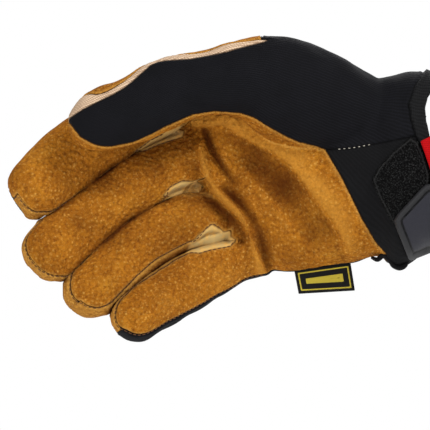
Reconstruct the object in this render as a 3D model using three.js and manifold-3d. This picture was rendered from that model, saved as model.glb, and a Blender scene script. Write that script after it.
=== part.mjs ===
// Right-hand leather work glove, worn, with the palm facing -Y and the wrist at +X.
// Millimetres, +Z up. The origin is the centre of the wrist opening.
import * as THREE from 'three';
import { mergeVertices } from 'three/addons/utils/BufferGeometryUtils.js';
import Module from 'manifold-3d';

const wasm = await Module();
wasm.setup();

// Driving dimensions
const WALL = 1.9;
const SEAM_GAP = 0.32;
const LAY_GAP = 0.35;
const TIP_LENGTH = 12;
const TIP_FULLNESS = 2.4;
const GUSSET_BACK = 5;
const BINDING_WIDTH = 9;
const PATCH_THICKNESS = 1.5;
const PULL_TAB_THICKNESS = 1.4;
const TAB_THICKNESS = 2.4;
const TAB_RIM_HEIGHT = 0.8;
const TAB_RIM_WIDTH = 3.2;
const LABEL_THICKNESS = 1;
const BIG = 80;
const FINEST_EDGE = 0.05;
const FULL_SECTION = 0.84;
const THUMB_STRIP_TOP = 0.66;
const THUMB_PAD_SEAM = -3;
const THUMB_STRIP_SEAM = 1;
const SIDE_SEAM = 8;
const PALM_THUMB_SEAM = 3;
const PALM_SIDE_SEAM = -2;
const WRIST_SIDE_SEAM = 10;
const CUFF_SIDE_SEAM = 6;
const THUMB_WEB_X = -95;
const THUMB_BALL_X = -60;
const CLEARANCE = 2;
const SLAB = 60;

// Fineness of the faceted skins
const PALM_STEPS = 17;
const PALM_SIDES = 20;
const FINGER_STEPS = 8;
const FINGER_SIDES = 12;
const THUMB_STEPS = 10;
const THUMB_SIDES = 12;
const BAND_STEPS = 7;
const TIP_PARTS = [0.5, 0.84, 0.985];

// Digits: centre line from the hand to the tip.
// Columns: x, y, z, half width across the hand, half depth from palm to back
const DIGITS = {
  index: [
    [-90.0, 8, 38.6, 14.6, 13.0],
    [-105.0, 7, 35.0, 14.8, 13.0],
    [-120.0, 5, 30.4, 15.0, 12.8],
    [-134.5, 3.5, 24.3, 14.9, 12.6],
    [-147.3, 2, 17.1, 14.8, 12.4],
    [-158.2, 0, 9.3, 14.7, 12.3],
    [-170.0, -4, 0.4, 14.4, 12.0],
    [-178.6, -9, -7.3, 13.8, 11.6],
    [-188.0, -15, -17.1, 13.2, 11.0],
  ],
  middle: [
    [-79.1, 9, 12.3, 14.0, 13.5],
    [-94.5, 8, 7.8, 13.8, 13.2],
    [-110.6, 6, 3.0, 13.3, 12.6],
    [-125.9, 4, -3.1, 12.7, 12.2],
    [-139.1, 2, -10.4, 12.3, 12.0],
    [-150.4, 0, -18.1, 12.3, 12.0],
    [-162.0, -5, -27.9, 12.9, 12.0],
    [-173.6, -12, -38.5, 13.4, 11.8],
    [-181.8, -17, -47.6, 12.9, 11.0],
  ],
  ring: [
    [-66.4, 9, -11.4, 13.0, 13.0],
    [-82.3, 8, -16.8, 13.0, 12.6],
    [-98.6, 6, -21.8, 12.5, 12.2],
    [-114.1, 4, -26.0, 12.3, 11.8],
    [-128.2, 1, -33.1, 12.2, 11.6],
    [-139.5, -3, -41.8, 12.0, 11.5],
    [-150.0, -9, -51.1, 12.0, 11.4],
    [-158.2, -14, -58.8, 11.7, 11.0],
    [-164.1, -18, -64.6, 11.0, 10.0],
  ],
  little: [
    [-55.0, 9, -22.7, 12.0, 12.5],
    [-70.9, 8, -32.3, 12.0, 12.0],
    [-87.7, 6, -41.0, 11.6, 11.4],
    [-101.6, 4, -47.6, 12.2, 11.0],
    [-113.6, 0, -54.4, 12.2, 10.8],
    [-124.4, -6, -61.3, 11.6, 10.5],
    [-133.3, -12, -67.5, 11.0, 10.2],
    [-139.1, -16, -71.7, 10.6, 9.8],
    [-144.3, -19, -75.6, 10.0, 9.0],
  ],
  thumb: [
    [-29.1, -2, 19.5, 18.0, 19.0],
    [-48.2, -7, 26.4, 22.0, 20.0],
    [-66.4, -13, 33.2, 22.5, 18.5],
    [-84.5, -18, 39.1, 18.4, 16.0],
    [-101.4, -21, 38.2, 14.6, 13.5],
    [-116.4, -23, 35.0, 14.2, 12.0],
    [-128.6, -24.5, 29.8, 14.6, 11.5],
    [-141.4, -25, 22.7, 12.9, 10.5],
    [-151.4, -25, 19.1, 11.3, 9.3],
    [-166.4, -24, 17.3, 8.5, 7.5],
  ],
};

// Seams of each finger, as depth from its centre line, minus towards the palm.
// Columns: thumb side, little-finger side
const PALM_SEAMS = {
  index: [6, -5],
  middle: [-3, -5],
  ring: [-3, -8],
  little: [-4, -5.5],
};

// Palm and cuff: flat sections from the thumb side to the little-finger side.
// Columns: x and z of the thumb side, x and z of the other side, y, half depth
const PALM = [
  [7.5, 42.5, 7.5, -44.5, 0, 30],
  [-5.5, 42.3, -5.5, -43.8, 0, 29.5],
  [-12.3, 42.3, -12.3, -45.6, 0, 29],
  [-20.0, 40.2, -18.6, -46.2, 0, 28],
  [-27.0, 39.3, -25.5, -41.2, 1, 26],
  [-43.6, 42.0, -39.1, -44.1, 2, 23],
  [-59.5, 46.5, -53.6, -46.8, 4, 21],
  [-76.4, 52.0, -66.4, -48.2, 5, 19],
  [-91.4, 53.0, -76.4, -46.8, 6, 17.2],
  [-105.0, 50.0, -84.5, -45.9, 6.5, 15.2],
  [-113.5, 46.0, -88.6, -44.1, 6.5, 12.8],
  [-119.0, 41.5, -92.0, -41.5, 6.5, 9],
];

// Folds of the palm: a bent line each. Depth is plus into the hand.
// Columns: x and z of the start, of the middle and of the end, depth, half width
const FOLDS = [
  [-106.0, 17.0, -91.0, -15.0, -78.0, -46.0, 2.6, 4.5],
  [-92.0, 14.0, -78.0, -8.0, -62.0, -32.0, 4.0, 12],
  [-86.0, 18.0, -60.0, -8.0, -41.0, -40.0, -1.8, 6],
  [-76.0, -18.0, -69.0, -27.0, -62.0, -36.0, -1.0, 4],
];

// Edge of the dark fabric against the suede, from the thumb web to the wrist
const DARK_EDGE = [
  [-105.0, 23.5],
  [-93.6, 23.2],
  [-83.1, 21.0],
  [-75.8, 16.5],
  [-62.4, 9.9],
  [-50.7, 6.8],
];
const WRIST_EDGE = [
  [-50.7, 6.8],
  [-43.3, -5.8],
  [-34.3, -24.1],
  [-27.5, -35.6],
  [-20.5, -48.0],
];
const WRIST_SEAM = [
  [-50.7, 6.8],
  [-41.0, 7.2],
  [-29.0, 9.1],
  [-10.0, 12.7],
];
const CUFF_END = [
  [0.5, 60.0],
  [-0.5, 42.0],
  [-3.6, 32.0],
  [-4.6, 22.0],
  [-2.5, 13.0],
  [4.0, 4.0],
  [5.2, -20.0],
  [5.0, -60.0],
];

// Outlines on the wrist, as x and z
const PATCH_OUTLINE = [
  [-12.5, 12.5],
  [-20.0, 6.4],
  [-27.0, -1.2],
  [-30.0, -7.0],
  [-26.7, -15.4],
  [-20.6, -27.0],
  [-6.0, -27.0],
  [-4.0, -4.5],
  [-7.0, 5.0],
  [-9.2, 10.0],
];
const TAB_OUTLINE = [
  [-20.0, -25.0],
  [-18.6, -22.6],
  [-8.4, -11.4],
  [-6.1, -9.2],
  [-2.7, -8.5],
  [4.4, -8.9],
  [4.4, -42.0],
  [-10.6, -42.0],
  [-13.1, -38.6],
  [-17.5, -29.0],
];
const PULL_TAB_OUTLINE = [
  [-8.3, 10.3],
  [-2.3, 13.4],
  [3.6, 9.0],
  [4.2, -6.2],
  [-1.8, -6.2],
  [-3.4, -3.8],
  [-6.4, 5.0],
];
const LABEL_OUTLINE = [
  [-64.4, -48.0],
  [-38.8, -44.4],
  [-36.8, -57.1],
  [-62.4, -58.6],
];

const FINISHES = {
  suede: { color: 0xa86a24, roughness: 0.92, metalness: 0 },
  cream_leather: { color: 0xc0a067, roughness: 0.85, metalness: 0 },
  pale_strip: { color: 0xd6b896, roughness: 0.8, metalness: 0 },
  black_fabric: { color: 0x1a1a1e, roughness: 0.85, metalness: 0 },
  black_loop: { color: 0x161616, roughness: 1, metalness: 0 },
  dark_rubber: { color: 0x303034, roughness: 0.5, metalness: 0 },
  red_fabric: { color: 0xa51218, roughness: 0.8, metalness: 0 },
  woven_label: { color: 0x1c1a16, roughness: 0.8, metalness: 0 },
};

// Solids from geometry, and back
function solidOf(geometry) {
  const bare = geometry.clone();
  bare.deleteAttribute('normal');
  bare.deleteAttribute('uv');
  const merged = mergeVertices(bare, 1e-4);
  return new wasm.Manifold(new wasm.Mesh({
    numProp: 3,
    vertProperties: new Float32Array(merged.attributes.position.array),
    triVerts: new Uint32Array(merged.index.array),
  }));
}

function geometryOf(solid) {
  const mesh = solid.getMesh();
  const geometry = new THREE.BufferGeometry();
  geometry.setAttribute('position', new THREE.BufferAttribute(mesh.vertProperties, 3));
  geometry.setIndex(new THREE.BufferAttribute(mesh.triVerts, 1));
  const flat = geometry.toNonIndexed();
  flat.computeVertexNormals();
  return flat;
}

function largestBody(solid) {
  const bodies = solid.decompose();
  bodies.sort((a, b) => b.volume() - a.volume());
  return bodies[0].simplify(FINEST_EDGE);
}

// A closed skin through rings with the same number of points, with a flat fan at each end
function loft(rings) {
  const sides = rings[0].length;
  const points = rings.flat();
  const faces = [];
  for (let ring = 0; ring < rings.length - 1; ring += 1) {
    for (let side = 0; side < sides; side += 1) {
      const next = (side + 1) % sides;
      const a = ring * sides + side;
      const b = ring * sides + next;
      const c = a + sides;
      const d = b + sides;
      faces.push(a, b, d, a, d, c);
    }
  }
  const last = (rings.length - 1) * sides;
  for (let side = 1; side < sides - 1; side += 1) {
    faces.push(0, side + 1, side);
    faces.push(last, last + side, last + side + 1);
  }
  const geometry = new THREE.BufferGeometry().setFromPoints(points);
  geometry.setIndex(faces);
  const solid = solidOf(geometry);
  if (solid.volume() > 0) {
    return solid;
  }
  const turned = [];
  for (let face = 0; face < faces.length; face += 3) {
    turned.push(faces[face], faces[face + 2], faces[face + 1]);
  }
  geometry.setIndex(turned);
  return solidOf(geometry);
}

// A prism of an outline in x and z, from one depth to another
function prism(outline, front = -BIG, back = BIG) {
  const shape = new THREE.Shape(outline.map(([x, z]) => new THREE.Vector2(x, z)));
  const geometry = new THREE.ExtrudeGeometry(shape, { depth: back - front, bevelEnabled: false });
  geometry.rotateX(Math.PI / 2);
  geometry.translate(0, back, 0);
  return solidOf(geometry);
}

function smoothStep(edge0, edge1, value) {
  const t = Math.min(1, Math.max(0, (value - edge0) / (edge1 - edge0)));
  return t * t * (3 - 2 * t);
}

// How far the palm's skin moves in y at a place
const foldLines = FOLDS.map(([x0, z0, x1, z1, x2, z2, depth, halfWidth]) => ({
  points: new THREE.CatmullRomCurve3([
    new THREE.Vector3(x0, 0, z0),
    new THREE.Vector3(x1, 0, z1),
    new THREE.Vector3(x2, 0, z2),
  ]).getPoints(12),
  depth,
  halfWidth,
}));

function foldDepth(x, z) {
  const place = new THREE.Vector3(x, 0, z);
  let total = 0;
  for (const fold of foldLines) {
    let nearest = Infinity;
    for (let i = 0; i < fold.points.length - 1; i += 1) {
      const line = new THREE.Line3(fold.points[i], fold.points[i + 1]);
      const foot = line.closestPointToPoint(place, true, new THREE.Vector3());
      nearest = Math.min(nearest, foot.distanceTo(place));
    }
    total += fold.depth * Math.exp(-((nearest / fold.halfWidth) ** 2));
  }
  return total;
}

// Stations along a digit: centre, across and depth directions, half width, half depth
function stationAt(path, sizes, place, shrink = 1) {
  const share = Math.min(1, Math.max(0, place));
  const size = sizes.getPoint(path.getUtoTmapping(share));
  const tangent = path.getTangentAt(share);
  const centre = path.getPointAt(share).addScaledVector(tangent, (place - share) * path.getLength());
  const across = new THREE.Vector3().crossVectors(tangent, new THREE.Vector3(0, 1, 0)).normalize();
  const depth = new THREE.Vector3().crossVectors(across, tangent).normalize();
  return { centre, across, depth, halfWidth: size.x, halfDepth: size.y, shrink };
}

function digitCurves(rows) {
  const path = new THREE.CatmullRomCurve3(rows.map(([x, y, z]) => new THREE.Vector3(x, y, z)));
  const sizes = new THREE.CatmullRomCurve3(rows.map((row) => new THREE.Vector3(row[3], row[4], 0)));
  return { path, sizes };
}

function digitStations(name, steps, inset) {
  const { path, sizes } = digitCurves(DIGITS[name]);
  const length = path.getLength();
  const straight = (length - TIP_LENGTH) / length;
  const stations = [];
  for (let step = 0; step < steps; step += 1) {
    stations.push(stationAt(path, sizes, (straight * step) / (steps - 1)));
  }
  for (const part of TIP_PARTS) {
    const share = straight + ((TIP_LENGTH - inset) / length) * part;
    stations.push(stationAt(path, sizes, share, (1 - part ** TIP_FULLNESS) ** (1 / TIP_FULLNESS)));
  }
  return stations;
}

function stationPoint(station, across, depth) {
  return station.centre.clone()
    .addScaledVector(station.across, across)
    .addScaledVector(station.depth, depth);
}

function digitBody(name, steps, sides, inset) {
  const rings = digitStations(name, steps, inset).map((station) => {
    const ring = [];
    for (let side = 0; side < sides; side += 1) {
      const angle = (2 * Math.PI * side) / sides;
      const across = (station.halfWidth - inset) * station.shrink * Math.cos(angle);
      const depth = (station.halfDepth - inset) * station.shrink * Math.sin(angle);
      const point = stationPoint(station, across, depth);
      if (name !== 'thumb') {
        point.y += foldDepth(point.x, point.z) * smoothStep(0.1, -0.7, Math.sin(angle));
      }
      ring.push(point);
    }
    return ring;
  });
  return loft(rings);
}

// Palm sections: stations like a digit's, with a fuller outline
function palmStations(steps) {
  const upper = new THREE.CatmullRomCurve3(PALM.map((row) => new THREE.Vector3(row[0], row[4], row[1])));
  const lower = new THREE.CatmullRomCurve3(PALM.map((row) => new THREE.Vector3(row[2], row[4], row[3])));
  const depths = new THREE.CatmullRomCurve3(PALM.map((row) => new THREE.Vector3(row[5], 0, 0)));
  const stations = [];
  for (let step = 0; step < steps; step += 1) {
    const share = step / (steps - 1);
    const a = upper.getPoint(share);
    const b = lower.getPoint(share);
    stations.push({
      centre: a.clone().lerp(b, 0.5),
      across: b.clone().sub(a).normalize(),
      depth: new THREE.Vector3(0, 1, 0),
      halfWidth: a.distanceTo(b) / 2,
      halfDepth: depths.getPoint(share).x,
    });
  }
  return stations;
}

function palmBody(steps, sides, inset) {
  const rings = palmStations(steps).map((station, index) => {
    const ring = [];
    for (let side = 0; side < sides; side += 1) {
      const angle = (2 * Math.PI * side) / sides;
      const full = (value) => Math.sign(value) * Math.abs(value) ** FULL_SECTION;
      const across = (station.halfWidth - inset) * full(Math.cos(angle));
      const depth = (station.halfDepth - inset) * full(Math.sin(angle));
      const point = stationPoint(station, across, depth);
      point.y += foldDepth(point.x, point.z) * smoothStep(0.1, -0.7, Math.sin(angle));
      if (index === steps - 1) {
        point.x += inset;
      }
      ring.push(point);
    }
    return ring;
  });
  return loft(rings);
}

const FINGERS = ['index', 'middle', 'ring', 'little'];

function bareHand(inset) {
  const palm = palmBody(PALM_STEPS, PALM_SIDES, inset);
  return palm.add(digitBody('thumb', THUMB_STEPS, THUMB_SIDES, inset));
}

function handBody(inset) {
  let body = bareHand(inset);
  for (const name of FINGERS) {
    body = body.add(digitBody(name, FINGER_STEPS, FINGER_SIDES, inset));
  }
  return body;
}

// Bands along a digit, cut by the planes of its stations: corners are across and depth.
// A grown band also runs past both of its ends.
function digitBand(name, steps, reach, grow, corners) {
  const { path, sizes } = digitCurves(DIGITS[name]);
  const [from, to] = reach;
  const rings = [];
  for (let step = 0; step < steps; step += 1) {
    const station = stationAt(path, sizes, from + ((to - from) * step) / (steps - 1));
    rings.push(corners(station).map(([across, depth]) => stationPoint(station, across, depth)));
  }
  if (grow > 0) {
    const start = path.getTangentAt(from).multiplyScalar(-grow);
    const end = path.getTangentAt(1).multiplyScalar(grow);
    rings.unshift(rings[0].map((point) => point.clone().add(start)));
    rings.push(rings[rings.length - 1].map((point) => point.clone().add(end)));
  }
  return loft(rings);
}

function fingerFront(name, grow) {
  const [thumbSide, littleSide] = PALM_SEAMS[name];
  return digitBand(name, BAND_STEPS, [0.12, 1.03], grow, (station) => {
    const side = station.halfWidth + 0.3 + grow;
    const front = -station.halfDepth - 2 - grow;
    return [
      [-side, thumbSide + grow],
      [side, littleSide + grow],
      [side, front],
      [-side, front],
    ];
  });
}

const GUSSET_START = { index: 0.2, middle: 0.22, ring: 0.26, little: 0.26 };

function gussetHalf(name, littleSide, grow) {
  const seam = PALM_SEAMS[name][littleSide ? 1 : 0];
  return digitBand(name, BAND_STEPS, [GUSSET_START[name], 1.04], grow, (station) => {
    const side = (station.halfWidth + 2 + grow) * (littleSide ? 1 : -1);
    const middle = littleSide ? -grow : grow;
    return [
      [middle, seam - grow],
      [side, seam - grow],
      [side, GUSSET_BACK + grow],
      [middle, GUSSET_BACK + grow],
    ];
  });
}

function fingerGusset(first, second, grow) {
  return gussetHalf(first, true, grow).add(gussetHalf(second, false, grow));
}

// Thumb: the dark back, the pale strip on its upper edge and the suede pad behind them
function thumbSeams(station) {
  const place = smoothStep(THUMB_WEB_X, THUMB_BALL_X, station.centre.x);
  return {
    upper: THREE.MathUtils.lerp(-THUMB_STRIP_TOP * station.halfDepth, SIDE_SEAM, place),
    lower: THREE.MathUtils.lerp(THUMB_PAD_SEAM, SIDE_SEAM, place),
  };
}

function thumbStrip(grow) {
  return digitBand('thumb', BAND_STEPS, [0.33, 1.03], grow, (station) => {
    const { upper } = thumbSeams(station);
    return [
      [-station.halfWidth - CLEARANCE, -THUMB_STRIP_TOP * station.halfDepth - grow],
      [-CLEARANCE + grow, upper - grow],
      [-CLEARANCE + grow, THUMB_STRIP_SEAM + grow],
      [-station.halfWidth - CLEARANCE, THUMB_STRIP_SEAM + grow],
    ];
  });
}

function thumbFront(grow) {
  const slab = digitBand('thumb', THUMB_STEPS, [0.02, 1.03], grow, (station) => {
    const { upper, lower } = thumbSeams(station);
    return [
      [-SLAB / 2, upper + grow],
      [-CLEARANCE, upper + grow],
      [CLEARANCE, lower + grow],
      [SLAB, lower + grow],
      [SLAB, -SLAB],
      [-SLAB / 2, -SLAB],
    ];
  });
  const cuff = prism([[-36, 70], [-36, -20], [20, -20], [20, 70]], -SLAB, CUFF_SIDE_SEAM + grow);
  const outline = [
    [-180, 70],
    [-180, -10],
    [-120, 10],
    ...DARK_EDGE.map(([x, z]) => [x, z - grow]),
    ...WRIST_SEAM.slice(1).map(([x, z]) => [x, z - grow]),
    [20, 13 - grow],
    [20, 70],
  ];
  return slab.add(cuff).intersect(prism(outline));
}

function thumbPad(grow) {
  return digitBand('thumb', BAND_STEPS, [0.3, 1.03], grow, (station) => {
    const side = station.halfWidth + 1 + grow;
    const back = station.halfDepth + 0.8 + grow;
    return [
      [-side, THUMB_STRIP_SEAM - grow],
      [-CLEARANCE, THUMB_STRIP_SEAM - grow],
      [2 * CLEARANCE, THUMB_PAD_SEAM - grow],
      [side, THUMB_PAD_SEAM - grow],
      [side, back],
      [-side, back],
    ];
  });
}

// Cuff and wrist
function cuffRegion(grow) {
  const edge = CUFF_END.map(([x, z]) => [x - BINDING_WIDTH - grow, z]);
  return prism([...edge, [60, -60], [60, 60]]);
}

function beyondCuff() {
  return prism([...CUFF_END, [60, -60], [60, 60]]);
}

function wristRegion(grow) {
  const outline = [
    ...[...WRIST_SEAM].reverse(),
    ...WRIST_EDGE.slice(1).map(([x, z]) => [x - grow, z]),
    [-20.5, -70],
    [20, -70],
    [20, 12.7],
  ];
  return prism(outline, -BIG, WRIST_SIDE_SEAM + grow);
}

function leatherRegion(grow) {
  const outline = [
    [-105.0, 80],
    ...DARK_EDGE.map(([x, z]) => [x, z + grow]),
    ...WRIST_EDGE.slice(1).map(([x, z]) => [x + grow, z]),
    [-20.5, -70],
    [-140, -70],
    [-140, 80],
  ];
  const palm = loft(palmStations(12).map((station) => {
    const side = station.halfWidth + 12;
    return [
      stationPoint(station, -side, PALM_THUMB_SEAM + grow),
      stationPoint(station, side, PALM_SIDE_SEAM + grow),
      stationPoint(station, side, -SLAB),
      stationPoint(station, -side, -SLAB),
    ];
  }));
  let region = palm.intersect(prism(outline));
  for (const name of FINGERS) {
    region = region.add(fingerFront(name, grow));
  }
  return region.add(thumbPad(grow));
}

// A skin that lies on the hand between two heights, inside an outline seen from the palm
function laidOn(outline, lowest, highest) {
  const band = bareHand(-highest);
  const under = bareHand(-lowest);
  return band.subtract(under).intersect(prism(outline, -BIG, 0));
}

function insetOutline(outline, distance) {
  const centre = new THREE.Vector2();
  for (const [x, z] of outline) {
    centre.add(new THREE.Vector2(x, z));
  }
  centre.divideScalar(outline.length);
  return outline.map(([x, z]) => {
    const away = new THREE.Vector2(x, z).sub(centre);
    const length = away.length();
    const moved = away.multiplyScalar((length - distance) / length).add(centre);
    return [moved.x, moved.y];
  });
}

function closureTab() {
  const lowest = PATCH_THICKNESS + 2 * LAY_GAP;
  const plate = laidOn(TAB_OUTLINE, lowest, lowest + TAB_THICKNESS);
  const rim = laidOn(TAB_OUTLINE, lowest, lowest + TAB_THICKNESS + TAB_RIM_HEIGHT);
  const inside = prism(insetOutline(TAB_OUTLINE, TAB_RIM_WIDTH));
  return plate.add(rim.subtract(inside));
}

// Assembly
const outer = handBody(0);
const inner = handBody(WALL);
const shell = outer.subtract(inner).subtract(beyondCuff());

const regions = [
  ['thumb_gusset', thumbStrip, 'pale_strip'],
  ['gusset_index_middle', (grow) => fingerGusset('index', 'middle', grow), 'cream_leather'],
  ['gusset_middle_ring', (grow) => fingerGusset('middle', 'ring', grow), 'cream_leather'],
  ['gusset_ring_little', (grow) => fingerGusset('ring', 'little', grow), 'cream_leather'],
  ['cuff_binding', cuffRegion, 'black_fabric'],
  ['thumb_back_panel', thumbFront, 'black_fabric'],
  ['wrist_panel', wristRegion, 'black_fabric'],
  ['palm_leather', leatherRegion, 'suede'],
];

const glove = new THREE.Group();

function addPiece(name, solid, finish) {
  const material = new THREE.MeshStandardMaterial({ ...FINISHES[finish], flatShading: true });
  const mesh = new THREE.Mesh(geometryOf(largestBody(solid)), material);
  mesh.name = name;
  glove.add(mesh);
}

let rest = shell;
for (const [name, region, finish] of regions) {
  addPiece(name, rest.intersect(region(0)), finish);
  rest = rest.subtract(region(SEAM_GAP));
}
addPiece('hand_back_panel', rest, 'black_fabric');

addPiece('loop_patch', laidOn(PATCH_OUTLINE, LAY_GAP, LAY_GAP + PATCH_THICKNESS), 'black_loop');
addPiece('pull_tab', laidOn(PULL_TAB_OUTLINE, LAY_GAP, LAY_GAP + PULL_TAB_THICKNESS), 'red_fabric');
addPiece('closure_tab', closureTab(), 'dark_rubber');
addPiece('side_label', prism(LABEL_OUTLINE, 1, 1 + LABEL_THICKNESS), 'woven_label');

export default glove;
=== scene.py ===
"""A worn right-hand leather work glove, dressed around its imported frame.

Lengths are millimetres until a mesh is made. x runs from the fingertips to the wrist, -y out of the
palm and z to the thumb side, with the origin in the middle of the wrist opening.
"""
from __future__ import annotations

import logging
import math
from dataclasses import dataclass, field
from enum import Enum

import bpy
import numpy as np
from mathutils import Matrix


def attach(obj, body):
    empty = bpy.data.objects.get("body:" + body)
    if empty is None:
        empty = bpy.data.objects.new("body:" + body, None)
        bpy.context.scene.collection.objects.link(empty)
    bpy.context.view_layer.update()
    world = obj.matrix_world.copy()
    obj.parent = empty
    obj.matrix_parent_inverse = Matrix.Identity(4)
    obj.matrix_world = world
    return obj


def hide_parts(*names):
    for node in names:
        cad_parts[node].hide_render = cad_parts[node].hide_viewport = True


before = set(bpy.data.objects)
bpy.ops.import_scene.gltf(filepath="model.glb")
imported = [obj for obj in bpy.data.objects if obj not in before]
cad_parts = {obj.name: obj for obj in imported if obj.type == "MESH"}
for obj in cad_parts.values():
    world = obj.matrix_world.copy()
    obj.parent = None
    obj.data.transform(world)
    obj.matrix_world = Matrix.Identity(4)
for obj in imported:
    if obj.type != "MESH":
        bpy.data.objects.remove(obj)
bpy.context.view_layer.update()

LOG = logging.getLogger("glove")
MM = 0.001
BODY = "root"
SEED = 11
# Length and roundness of a digit's tip, and the share of its length over which it parts from the rest
TIP_LENGTH = 12.0
TIP_FULLNESS = 2.5
PARTING = 0.12
# Thickness of the leather and the cloth
WALL = 1.7
# Angle in degrees past which an edge is shaded sharp
SHARP = 50.0
# Places measured at a time, which keeps the tables of distances small
BATCH = 2000
NORMAL_FIELDS = ("nx", "ny", "nz")

Array = np.ndarray
Outline = tuple[tuple[float, float], ...]


class Side(Enum):
    """The side of a digit, as the sign of its across coordinate."""

    THUMB = -1.0
    LITTLE = 1.0


# Curves, ramps and noise


def spline(rows: Array, steps: int) -> Array:
    """A centripetal Catmull-Rom curve through rows of numbers.

    Each span is the cubic with the rows at its ends and the slopes
    (p1-p0)/g0 - (p2-p0)/(g0+g1) + (p2-p1)/g1, where g is the root of a gap's length.

    Args:
        rows: Points, whose first three columns set the spacing; more columns come along.
        steps: Points in each span.

    Returns:
        The points of the curve, ends included.
    """
    rows = np.asarray(rows, float)
    gaps = np.sqrt(np.linalg.norm(np.diff(rows[:, :3], axis=0), axis=1))[:, None]
    before = np.vstack([2 * rows[0] - rows[1], rows[:-1]])
    after = np.vstack([rows[1:], 2 * rows[-1] - rows[-2]])
    g0 = np.vstack([gaps[:1], gaps])
    g1 = np.vstack([gaps, gaps[-1:]])
    slope = (rows - before) / g0 - (after - before) / (g0 + g1) + (after - rows) / g1
    t = (np.arange(steps) / steps)[None, :, None]
    start = (slope[:-1] * gaps)[:, None]
    end = (slope[1:] * gaps)[:, None]
    curve = (
        (2 * t**3 - 3 * t**2 + 1) * rows[:-1, None]
        + (t**3 - 2 * t**2 + t) * start
        + (3 * t**2 - 2 * t**3) * rows[1:, None]
        + (t**3 - t**2) * end
    )
    return np.vstack([curve.reshape(-1, rows.shape[1]), rows[-1:]])


def run_of(points: Array) -> Array:
    """The length along a path at each of its points."""
    return np.concatenate([[0.0], np.cumsum(np.linalg.norm(np.diff(points, axis=0), axis=1))])


def at_run(values: Array, run: Array, wanted: Array) -> Array:
    """Rows of values at wanted lengths along a path."""
    return np.stack([np.interp(wanted, run, column) for column in values.T], axis=1)


def evenly(curve: Array, count: int) -> Array:
    """Points of a curve at even lengths along it.

    Args:
        curve: Points of a fine curve, whose first three columns are its place.
        count: How many points to return.

    Returns:
        The points, with all columns.
    """
    run = run_of(curve[:, :3])
    return at_run(curve, run, np.linspace(0, run[-1], count))


def smooth_step(low: float, high: float, value: Array) -> Array:
    """3t^2 - 2t^3 of the value's share of the way from low to high."""
    t = np.clip((value - low) / (high - low), 0, 1)
    return t * t * (3 - 2 * t)


def bell(value: Array, width: float | Array) -> Array:
    """exp(-(value / width)^2)."""
    return np.exp(-((value / width) ** 2))


def unit(vectors: Array) -> Array:
    """Vectors at length one."""
    return vectors / np.maximum(np.linalg.norm(vectors, axis=-1, keepdims=True), 1e-9)


def soft_noise(points: Array, size: float, seed: int, waves: int = 14) -> Array:
    """Smooth noise from -1 to 1: a mean of sine waves in random directions.

    Args:
        points: Places, one in each row.
        size: Rough size of a bump.
        seed: Seed of the directions and phases.
        waves: How many waves are summed.

    Returns:
        One number for each place.
    """
    draw = np.random.default_rng(SEED + seed)
    ways = unit(draw.normal(size=(waves, 3))) * draw.uniform(0.6, 1.5, (waves, 1)) * math.pi / size
    phase = draw.uniform(0, 2 * math.pi, waves)
    return np.sin(points @ ways.T + phase).sum(axis=1) / math.sqrt(waves * 2)


def line_distance(x: Array, z: Array, line: Array) -> tuple[Array, Array, Array]:
    """Distances from places to a polyline seen from the palm.

    Args:
        x: Places along the hand.
        z: Places across the hand.
        line: Points of the polyline, as x and z.

    Returns:
        The distance, the side (positive to the left of the line's run), and the share of
        the line's run at the nearest point.
    """
    start, step = line[:-1], np.diff(line, axis=0)
    length = np.linalg.norm(step, axis=1)
    run = run_of(line)
    dx = x[:, None] - start[:, 0]
    dz = z[:, None] - start[:, 1]
    t = np.clip((dx * step[:, 0] + dz * step[:, 1]) / length**2, 0, 1)
    gap = np.hypot(dx - t * step[:, 0], dz - t * step[:, 1])
    near = gap.argmin(axis=1)
    pick = np.arange(len(x))
    turn = step[near, 0] * dz[pick, near] - step[near, 1] * dx[pick, near]
    share = (run[near] + t[pick, near] * length[near]) / run[-1]
    return gap[pick, near], np.sign(turn), share


def line_side(x: Array, z: Array, line: Outline) -> Array:
    """Distances to a polyline seen from the palm, positive to the left of its run."""
    gap, side, _ = line_distance(x, z, np.array(line))
    return gap * side


def outline_depth(x: Array, z: Array, outline: Outline) -> Array:
    """Distances to a closed outline, positive inside it.

    A place is inside where a line from it to +x crosses the outline an odd number of times.

    Args:
        x: Places along the hand.
        z: Places across the hand.
        outline: The outline's corners, as x and z.

    Returns:
        One distance for each place.
    """
    corners = np.array(outline + outline[:1], float)
    gap, _, _ = line_distance(x, z, corners)
    (x0, z0), (x1, z1) = corners[:-1].T, corners[1:].T
    crosses = (z0 > z[:, None]) != (z1 > z[:, None])
    rise = np.where(z1 == z0, 1e-9, z1 - z0)
    at = x0 + (z[:, None] - z0) / rise * (x1 - x0)
    inside = (crosses & (x[:, None] < at)).sum(axis=1) % 2 == 1
    return np.where(inside, gap, -gap)


# Meshes


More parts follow.
